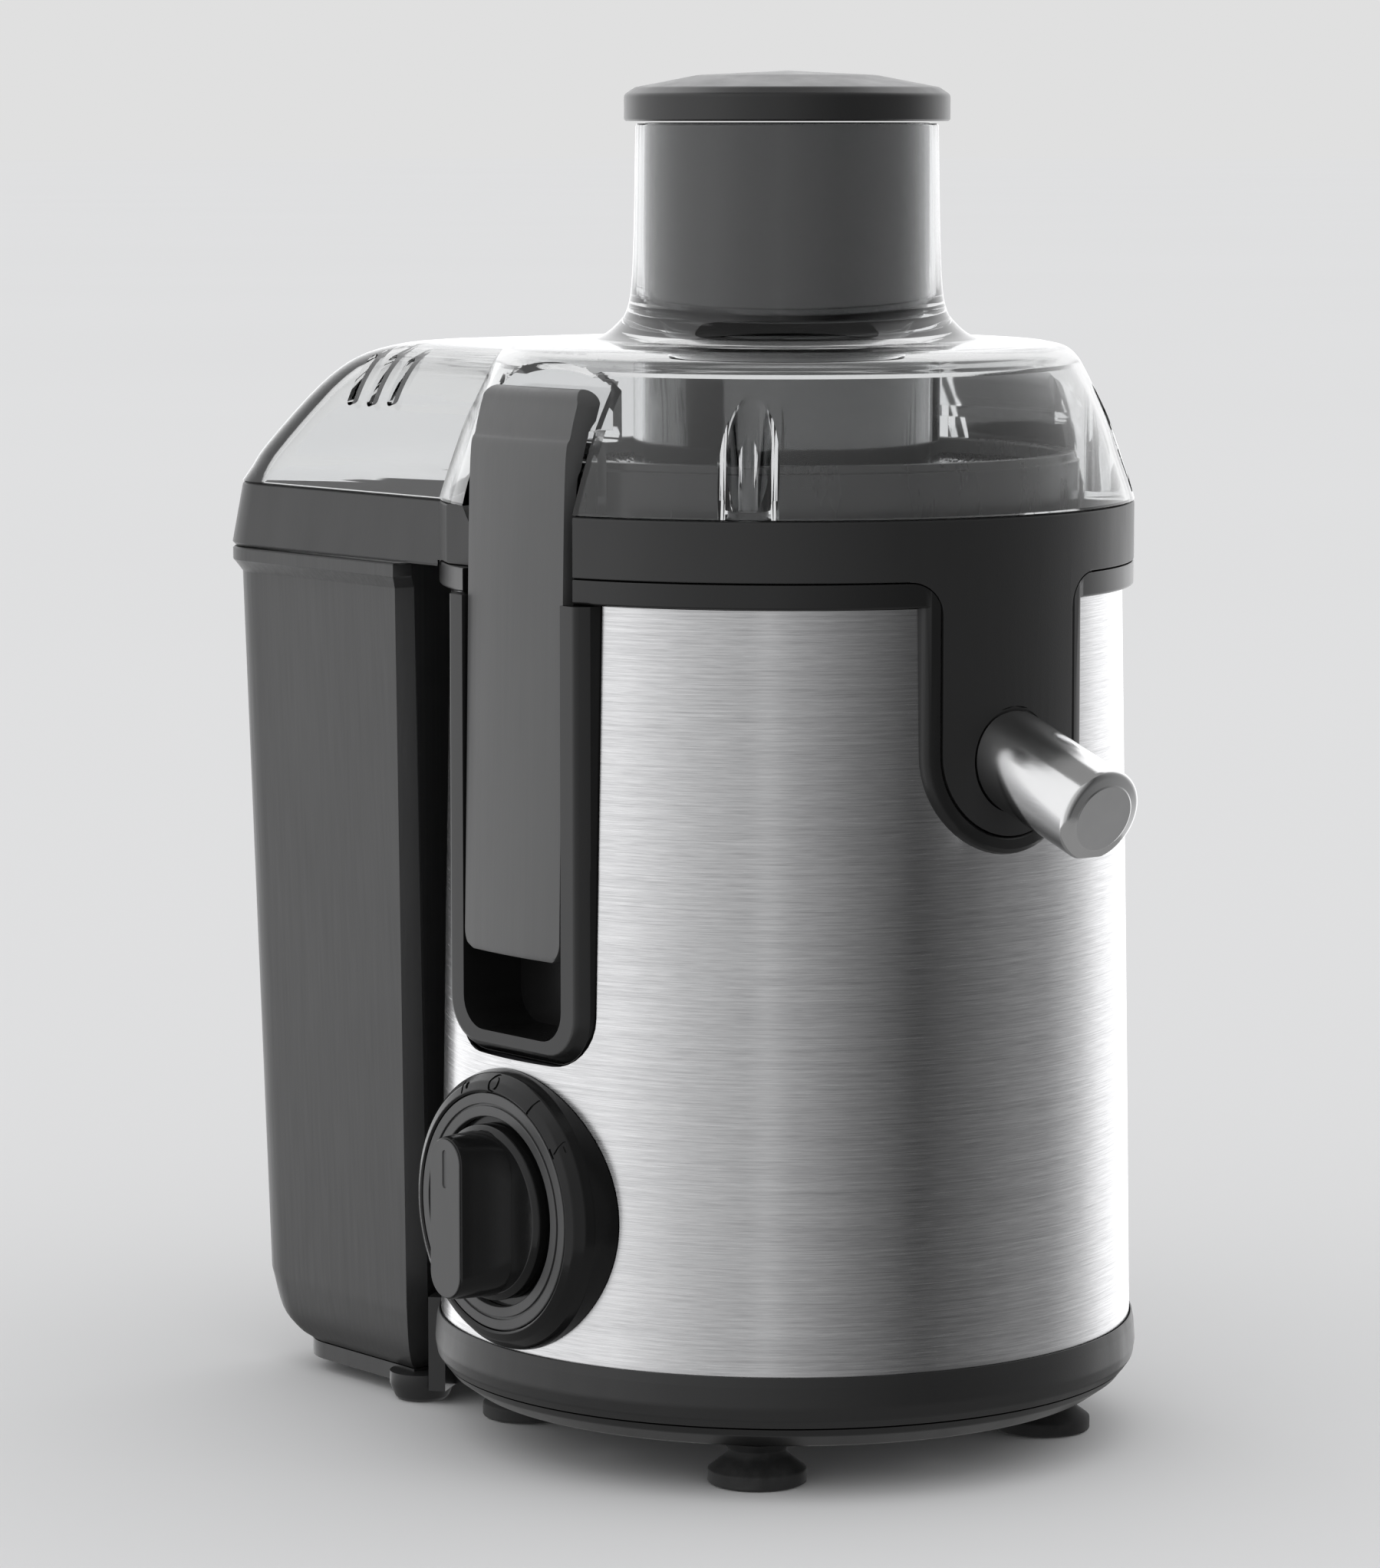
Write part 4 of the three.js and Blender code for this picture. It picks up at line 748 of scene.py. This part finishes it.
def dial():
    skin = turned([(0, 0), (SKIN_OUTLINE[0][0] + 0.35, 20), *[(r + 0.35, z) for r, z in SKIN_OUTLINE],
                   (0, SKIN_TOP)], 256)
    inner, outer = 25.1, 31.3
    face = 99.0
    bezel = about_dial(rounded([
        (8, 84), (DIAL_RADIUS, 84), (DIAL_RADIUS, 93.4, 1.2), (36.4, 95.9, 2), (34.4, 98.2, 2),
        (32.2, 99.3, 0.5), (31.6, 98.9, 0.3), (31.6, 96.6), (8, 96.6)]))
    bezel = cut(cut(bezel, engraved_signs(bezel)), skin)
    finished(bezel, "dial_bezel_fine", "gloss_black", "machine", ["dial_bezel"])
    middle = (inner + outer) / 2
    rings = about_dial(rounded([
        (inner, 97), (outer, 97), (outer, face, 0.4), (middle + 0.35, face, 0.2), (middle + 0.35, face - 0.6),
        (middle - 0.35, face - 0.6), (middle - 0.35, face, 0.2), (inner, face, 0.4)]))
    finished(rings, "dial_rings_fine", "grey_trim", "machine", ["dial_rings"])
    knob()
    knob_face()


def engraved_signs(bezel):
    """Cutter for the signs on the bezel: a pulse sign, a nought, and the speeds one and two."""
    radius, depth = 34.0, 0.45
    bar, wide, tall = 0.8, 1.5, 2.1
    strokes = {
        -20: [rounded_rectangle(-0.9, 0.9, -0.9, 0.9, 0.88, 6),
              rounded_rectangle(1.9, 2.7, -1.7, 1.7, 0.3, 3)],
        29: [rounded_rectangle(-bar / 2, bar / 2, -tall, tall, 0.3, 3)],
        54: [rounded_rectangle(-wide, wide, tall - bar, tall, 0.3, 3),
             rounded_rectangle(-wide, wide, -tall, bar - tall, 0.3, 3),
             [(wide, 1.6), (wide - 0.9, 1.6), (-wide, -1.6), (0.9 - wide, -1.6)]],
    }
    signs = [upright_sign(prism(shape, "x", -102, -92), angle, radius)
             for angle, shapes in strokes.items() for shape in shapes]
    nought = cut(prism(circle_points(wide + 0.7, 24), "x", -102, -92),
                 prism(circle_points(wide - 0.1, 24), "x", -103, -91))
    signs.append(upright_sign(nought, 0, radius))
    uncut = added("solid", bezel.data.copy())
    moved(uncut, Matrix.Translation((depth, 0, 0)))
    return cut(joined(signs[0], *signs[1:]), uncut)


def upright_sign(sign, angle, radius):
    """Moves a sign drawn about the dial's axis to its place on the bezel, turned with it."""
    turn = Matrix.Rotation(math.radians(angle), 4, "X")
    return moved(sign, Matrix.Translation((0, 0, DIAL_Z)) @ turn @ Matrix.Translation((0, 0, radius)))


def knob():
    radius = 23.2
    barrel = about_dial(rounded([
        (0, 97.2), (radius, 97.2, 0.3), (radius, 100.8, 0.8), (21.6, 101.8, 1), (0, 102.4)], closed=False))
    depth = -KNOB_FACE_X
    levels = spline([(98, 29, 44.4), (101.5, 25.5, 44.2), (106, 19.6, 43.8), (110.5, 15.6, 43.4),
                     (depth - 1.4, 14, 43)], 4)
    levels += [(depth - 0.7, 13.6, 42.6), (depth - 0.5, 13.0, 42.0)]
    rows = []
    for out, width, height in levels:
        outline = rounded_rectangle(-width / 2, width / 2, DIAL_Z - height / 2, DIAL_Z + height / 2,
                                    width / 2 - 0.01, 12)
        rows.append([(-out, y, z) for y, z in outline])
    finished(joined(barrel, lofted(rows)), "dial_knob_fine", "gloss_black", "dial",
             ["dial_knob"])


def knob_face():
    depth = -KNOB_FACE_X
    plate_outline = rounded_rectangle(-6.4, 6.4, DIAL_Z - 20.9, DIAL_Z + 20.9, 6.35, 12)
    plate = prism(plate_outline, "x", -depth, -depth + 0.48)
    groove_outline = rounded_rectangle(-1, 1, DIAL_Z + 8, DIAL_Z + 18, 0.95, 6)
    groove = prism(groove_outline, "x", -depth - 1, -depth + 0.36)
    finished(softened(cut(plate, groove), 0.12, 2), "knob_face_fine", "grey_trim", "dial",
             ["knob_face"])


# ---------- spout ----------

def spout():
    body = about_spout(rounded([
        (0, 0), (SPOUT_FACE_RADIUS, 0, 0.25), (SPOUT_FACE_RADIUS + 0.4, 0.25, 0.2), (SPOUT_RADIUS, 0.9, 3.4),
        (SPOUT_RADIUS, SPOUT_LENGTH, 0.4), (0, SPOUT_LENGTH)], steps=8, closed=False))
    bore = about_spout([(0, 2), (SPOUT_BORE, 3.6), (SPOUT_BORE, 48), (0, 48)])
    flat = box((-20, 20), (-140, -60), (150, 168.4))
    outlet = prism(rounded_rectangle(-7, 7, -121, -108, 4), "z", 150, 176)
    tube = softened(cut(body, bore, flat, outlet), 0.25, 2, 50)
    finished(tube, "spout_tube_fine", "polished_steel", "spout", ["spout_tube"])


# ---------- lid and pusher ----------

LID_WALL = 2.4
COVER = [(LID_FOOT, 78, 158.2), (258, 77.5, 154), (264, 76.3, 148.9), (278, 72.4, 133.5), (286, 68.6, 124),
         (290.5, 64.4, 116.5), (293.3, 58.5, 107), (294.3, 52, 99)]


def cover(inset, drop):
    levels = []
    for index, (z, half, rear) in enumerate(spline(COVER, 3)):
        lowered = z - (drop if index == 0 else 0.7 * drop)
        outline = chute_outline(half - inset, rear - 1.35 * inset, 18 - 0.8 * inset)
        levels.append(at_height(outline, lowered))
    return lofted(levels)


LID_SHOULDER = spline([(RING_RADIUS, LID_FOOT), (92.4, 257.4), (90.4, 263.6), (86, 276), (79.9, 288.3),
                       (77.6, 292), (74.6, 294.4), (70, 295.5)], 4)
VENTS = [(100, 14), (90.7, 14), (81.4, 13)]
NICHE_RADIUS = 5.8
NICHE_PIN = 2.5
NICHE_ANGLE = math.radians(224.6)


def under_shoulder(body):
    """Trims a solid to the space under the outside of the lid."""
    return common(body, turned([(0, LID_FOOT), *LID_SHOULDER, (0, 295.5)], 256))


def lid():
    flare = spline([(52, 296.2), (48.4, 297.8), (45.1, 300.7), (43, 303.7), (41.7, 310), (41, 325),
                    (40.5, TUBE_TOP - 0.7)], 4)
    outside = turned([(0, LID_FOOT), *LID_SHOULDER, *flare, (40.1, TUBE_TOP), (0, TUBE_TOP)], 256)
    inner = [(r - LID_WALL, z - (LID_WALL if z > 290 else 0.4)) for r, z in LID_SHOULDER]
    inside = turned([(0, SEAM - 3), (RING_RADIUS - LID_WALL, SEAM - 3), *inner, (52, 293.3), (0, 293.3)], 256)
    shell = cut(joined(outside, cover(0, 0)), inside, cover(LID_WALL, 4))
    throat = turned([(37.8, 228), (41.2, 228), (41.2, 296), (37.8, 296)], 256)
    slots = [vent_slot(side, y, length) for side in (LEFT, RIGHT) for y, length in VENTS]
    pockets = []
    for side in (LEFT, RIGHT):
        pockets.append(arm_recess(side, SEAM - 1, 275, 82.6))
        pockets.append(arm_recess(side, 275, 300, 77.6))
    bore = turned([(0, 227), (38.8, 227), (38.8, TUBE_TOP + 1), (0, TUBE_TOP + 1)], 256)
    plugs = [under_shoulder(lug(side)) for side in (LEFT, RIGHT)]
    walls = [under_shoulder(niche(side, 2.0, LID_FOOT)) for side in (LEFT, RIGHT)]
    whole = joined(cut(joined(shell, throat), *slots, *pockets), *plugs, *walls)
    whole = cut(whole, *[niche(side, 0.0, SEAM - 1) for side in (LEFT, RIGHT)])
    pins = [under_shoulder(niche(side, NICHE_PIN - NICHE_RADIUS, LID_FOOT, 1.6)) for side in (LEFT, RIGHT)]
    pin_feet = [under_shoulder(niche(side, 0.3, LID_FOOT, 0, 2)) for side in (LEFT, RIGHT)]
    whole = joined(whole, *pins, *pin_feet)
    finished(cut(whole, bore), "lid_fine", "clear_plastic", "machine", ["lid"])


def niche(side, grow, low, outward=0.0, height=40):
    """Upright cylinder in the sloping front wall, where a half-round niche hides a fixing pin."""
    column = turned([(0, low), (NICHE_RADIUS + grow, low), (NICHE_RADIUS + grow, low + height),
                     (0, low + height)], 64)
    circle = 87.6 + outward
    place = (circle * math.cos(NICHE_ANGLE), circle * math.sin(NICHE_ANGLE), 0)
    return mirrored(side, moved(column, Matrix.Translation(place)))


def vent_slot(side, y, length):
    slot = prism(rounded_rectangle(-length / 2, length / 2, -1.4, 1.4, 1.35, 4), "x", -100, -50)
    place = Matrix.Translation((0, y, 283.6)) @ Matrix.Rotation(math.radians(-84), 4, "X")
    return mirrored(side, moved(slot, place))


def lug(side):
    """Upright tab inside the lid wall that the clamp hook closes on."""
    profile = [(-82.6, LID_FOOT), (-82.6, 275), (-77.6, 275), (-77.6, 294), (-74.8, 294), (-74.8, 272),
               (-79.8, 272), (-79.8, LID_FOOT)]
    return mirrored(side, prism(profile, "y", -25.5, 25.5))


def pusher():
    low, high = node_box("pusher_body")
    radius = high.x
    body = turned(rounded([
        (0, low.z + 1.4), (34, low.z, 3), (36.6, low.z, 1), (radius, low.z + 2, 1), (radius, high.z),
        (33, high.z), (33, low.z + 7), (0, low.z + 7)], closed=False), 256)
    finished(body, "pusher_body_fine", "pusher_plastic", "pusher", ["pusher_body"])
    low, high = node_box("pusher_cap")
    radius = high.x
    cap = turned(rounded([
        (0, low.z), (radius - 0.5, low.z, 0.3), (radius, low.z + 0.5, 0.3), (radius, 361.2, 1.6),
        (radius - 3, 363.2, 3), (24, 366.4, 20), (0, high.z)], steps=8, closed=False), 256)
    finished(cap, "pusher_cap_fine", "cap_plastic", "pusher", ["pusher_cap"])


# ---------- basket ----------

def basket():
    sieve = turned([(36.4, 218.3), (37.6, 218.3), (76, 262), (75.2, 262), (36.4, 219.2)], 160)
    finished(sieve, "filter_mesh_fine", "perforated_steel", "drive", ["filter_mesh"])
    low, high = node_box("basket_rim")
    rim = turned(rounded([
        (73, 262.4), (77.2, 262.4), (77.2, low.z), (high.x, low.z, 0.4), (high.x, 264.2, 0.3),
        (77.6, 264.6, 0.3), (77.2, high.z, 0.5), (73, high.z, 0.8)]))
    finished(rim, "basket_rim_fine", "basket_plastic", "drive", ["basket_rim"])
    disc = turned(rounded([
        (0, 219.4), (34, 219.4), (34, 220.2, 0.3), (10, 220.2, 1), (7, 222.4, 1), (0, 222.8)],
        closed=False), 128)
    teeth = []
    for ring in range(4):
        count = 10 + 5 * ring
        for k in range(count):
            start = 12 + 5.2 * ring
            tooth = lofted([
                [(start, -0.9, 219.8), (start + 3.4, -0.9, 219.8), (start + 3.4, 0.9, 219.8),
                 (start, 0.9, 219.8)],
                [(start + 0.9, -0.2, 221.7), (start + 2.5, -0.2, 221.7), (start + 2.5, 0.3, 221.7),
                 (start + 0.9, 0.3, 221.7)]])
            teeth.append(moved(tooth, Matrix.Rotation(2 * math.pi * k / count + 0.2 * ring, 4, "Z")))
    finished(joined(disc, *teeth), "grater_disc_fine", "bare_steel", "drive",
             ["grater_disc"])


# ---------- pulp container and cradle ----------

INNER_ARC = 101.7
CORNER_ARC = 106.3


def container_outline(half, rear, corner, inset=0.0):
    """Flat sides, rounded rear corners, and a concave front that wraps the body."""
    near = math.sqrt(CORNER_ARC ** 2 - half ** 2) + inset
    arc = INNER_ARC + inset
    side, back, radius = half - inset, rear - inset, corner - inset
    sweep = math.acos(near / arc)
    quarter = math.pi / 2
    points = [(side, near), *circle_points(radius, 10, 0, quarter, (side - radius, back - radius)),
              *circle_points(radius, 10, quarter, math.pi, (radius - side, back - radius)), (-side, near)]
    return points + circle_points(arc, 32, quarter + sweep, quarter - sweep)


def pulp_container():
    low, high = CONTAINER_LOW.z, CONTAINER_HIGH.z
    wall = 2.2
    shape = spline([
        (low, 64, 147.5), (low + 2.5, 66.2, 151.5), (low + 8, 68.3, 156), (low + 19, 69.8, 159)], 4)
    shape += [(high - 7, 78, 158.6)]
    body = lofted([at_height(container_outline(half, rear, 18), z) for z, half, rear in shape])
    neck = lofted([at_height(container_outline(78, 158.6, 18), high - 7),
                   at_height(container_outline(80.3, SKIRT_REAR - 0.3, 20.7), high - 4.2),
                   at_height(container_outline(80.9, SKIRT_REAR, 21), high - 3.6),
                   at_height(container_outline(80.9, SKIRT_REAR, 21), high - 0.5),
                   at_height(container_outline(80.4, SKIRT_REAR - 0.5, 20.6), high)])
    hollow = lofted([at_height(container_outline(64, 147.5, 18, wall), low + wall),
                     at_height(container_outline(68.3, 156, 18, wall), low + 8 + wall),
                     at_height(container_outline(69.9, 159, 18, wall), low + 21),
                     at_height(container_outline(78, 158.6, 18, wall), high + 1)])
    container = softened(cut(joined(body, neck), hollow), 0.6, 3, 50)
    finished(container, "pulp_container_fine", "container_plastic", "container",
             ["pulp_container"])


def sector(outer, inner, half_angle, steps=48):
    up = math.pi / 2
    return (circle_points(outer, steps, up - half_angle, up + half_angle)
            + circle_points(inner, steps, up + half_angle, up - half_angle))


def container_cradle():
    plate = prism(container_outline(64, 147, 18), "z", 4, CONTAINER_LOW.z - 0.35)
    upstand = prism(sector(100.6, BASE_RADIUS + 0.35, math.radians(40)), "z", 4, 30.5)
    tongue = prism(sector(103, 78, math.radians(34)), "z", 4, CONTAINER_LOW.z - 0.35)
    legs = []
    for side in (LEFT, RIGHT):
        leg_outline = rounded([(0, 0), (6.5, 0, 0.8), (7.5, 1, 0.5), (9, 4.5), (9, 8), (0, 8)], closed=False)
        leg = turned(leg_outline, 48)
        legs.append(moved(leg, Matrix.Translation((60.5 * side, 86, 0))))
    cradle = joined(plate, upstand, tongue, *legs)
    for node in ("foot_rear_right", "foot_rear_left"):
        low, high = node_box(node)
        clear = turned([(0, -1), (14.4, -1), (14.4, 12), (0, 12)], 96)
        middle = ((low.x + high.x) / 2, (low.y + high.y) / 2, 0)
        cradle = cut(cradle, moved(clear, Matrix.Translation(middle)))
    finished(softened(cradle, 0.4, 2, 50), "container_cradle_fine", "soft_dark_plastic",
             "machine", ["container_cradle"])


# ---------- studio ----------

def studio():
    floor_mesh = bpy.data.meshes.new("floor")
    reach = 40
    corners = [(-reach, -reach, 0), (reach, -reach, 0), (reach, reach, 0), (-reach, reach, 0)]
    floor_mesh.from_pydata(corners, [], [(0, 1, 2, 3)])
    floor = added("floor", floor_mesh)
    look = Look("pale floor", Specular_IOR_Level=0.0, Roughness=0.9)
    drift = look.noise(look.place, scale=0.6)
    look.set("Base Color", look.ramp(drift, (0.3, grey(0.99 * PAPER)), (0.7, grey(PAPER))))
    floor.data.materials.append(look.material)
    floor.visible_glossy = False
    world_light()
    reflected_walls()
    off_floor = bpy.data.collections.new("not lit by the lamps")
    off_floor.objects.link(floor)
    off_floor.collection_objects[0].light_linking.link_state = "EXCLUDE"
    lamps = [
        soft_box("key light", azimuth=178, elevation=24, distance=1.6, size=(0.55, 1.3), power=9),
        soft_box("side light", azimuth=-6, elevation=20, distance=1.6, size=(0.4, 1.3), power=9),
        soft_box("top light", azimuth=240, elevation=72, distance=1.6, size=(1.0, 1.0), power=6),
    ]
    for lamp in lamps:
        lamp.light_linking.receiver_collection = off_floor
    bpy.context.scene.view_settings.view_transform = "Standard"


# Brightness of the reflected walls by compass direction, as a share of a full turn from -X.
WALLS = [(0.0, 1.0), (0.058, 0.66), (0.110, 0.50), (0.126, 0.60), (0.142, 0.44), (0.197, 0.22), (0.253, 0.07),
         (0.308, 0.15), (0.392, 0.32), (0.436, 0.65), (0.475, 1.2), (0.53, 1.55), (0.62, 1.5), (0.74, 1.6),
         (0.80, 1.25), (0.963, 1.05)]
WALL_RADIUS = 0.5
WALL_HEIGHT = 1.1
WALL_DEPTH = 0.12
PAPER = 0.745
CEILING = 0.3


def world_light():
    """White for diffuse light, dimmer for reflections, and the tone of the floor where it is seen directly
    or through the lid, so no horizon shows."""
    world = bpy.data.worlds.new("studio")
    bpy.context.scene.world = world
    world.use_nodes = True
    nodes, links = world.node_tree.nodes, world.node_tree.links
    ray = nodes.new("ShaderNodeLightPath")
    color = None
    for kind, level in (("Is Glossy Ray", CEILING), ("Is Transmission Ray", PAPER), ("Is Camera Ray", PAPER)):
        chosen = nodes.new("ShaderNodeMixRGB")
        chosen.inputs["Color1"].default_value = (1, 1, 1, 1)
        chosen.inputs["Color2"].default_value = (level, level, level, 1)
        if color:
            links.new(color, chosen.inputs["Color1"])
        links.new(ray.outputs[kind], chosen.inputs["Fac"])
        color = chosen.outputs["Color"]
    links.new(color, nodes["Background"].inputs["Color"])


def reflected_walls():
    """A ring of cards for glossy surfaces only: bright, with a dark stretch in front of the machine."""
    steps = 96
    ring = [(AXIS.x + WALL_RADIUS * x, AXIS.y + WALL_RADIUS * y) for x, y in circle_points(1, steps)]
    points = [(x, y, z) for z in (-WALL_DEPTH, WALL_HEIGHT) for x, y in ring]
    faces = [(k, (k + 1) % steps, steps + (k + 1) % steps, steps + k) for k in range(steps)]
    mesh = bpy.data.meshes.new("reflected walls")
    mesh.from_pydata(points, [], faces)
    walls = added("reflected_walls", mesh)
    look = Look("reflected walls", Roughness=1.0)
    apart = look.node("ShaderNodeSeparateXYZ", {"Vector": look.place}).outputs
    across = look.math("SUBTRACT", apart["X"], AXIS.x)
    deep = look.math("SUBTRACT", apart["Y"], AXIS.y)
    turn = look.math("ARCTAN2", deep, across)
    share = look.between(turn, 0.0, 1.0, -math.pi, math.pi)
    brightest = max(level for _, level in WALLS)
    color = look.ramp(share, *[(position, grey(level / brightest)) for position, level in WALLS])
    glow = look.node("ShaderNodeEmission", {"Color": color, "Strength": brightest})
    output = look.tree.nodes["Material Output"]
    look.tree.links.new(glow.outputs["Emission"], output.inputs["Surface"])
    mesh.materials.append(look.material)
    walls.visible_camera = False
    walls.visible_diffuse = False
    walls.visible_shadow = False
    walls.visible_transmission = False


def soft_box(name, azimuth, elevation, distance, size, power):
    """Rectangular light that faces the middle of the machine."""
    light = bpy.data.lights.new(name, "AREA")
    light.shape = "RECTANGLE"
    light.size, light.size_y = size
    light.energy = power
    lamp = added(name, light)
    turn, rise = math.radians(azimuth), math.radians(elevation)
    target = AXIS + Vector((0, 0, 0.18))
    offset = Vector((math.cos(turn) * math.cos(rise), math.sin(turn) * math.cos(rise), math.sin(rise)))
    lamp.location = target + distance * offset
    lamp.rotation_euler = (-offset).to_track_quat("-Z", "Y").to_euler()
    lamp.visible_glossy = False
    lamp.visible_transmission = False
    return lamp


def camera():
    """Long lens, a little above the machine, turned toward the dial side."""
    lens = bpy.data.cameras.new("camera")
    lens.sensor_width = 36
    lens.lens = 132.1
    lens.clip_end = 50
    eye = added("camera", lens)
    eye.location = AXIS + Vector((-0.9769, -1.1995, 0.3552))
    eye.rotation_euler = (math.radians(90 - 6.61), 0, math.radians(-38.2))
    bpy.context.scene.camera = eye


dress_cad_nodes()
base_shell()
base_plate()
feet()
base_screws()
steel_skin()
trim_rings()
juice_collector()
clamp_channels()
clamp_arms()
dial()
spout()
lid()
pusher()
basket()
pulp_container()
container_cradle()
studio()
camera()
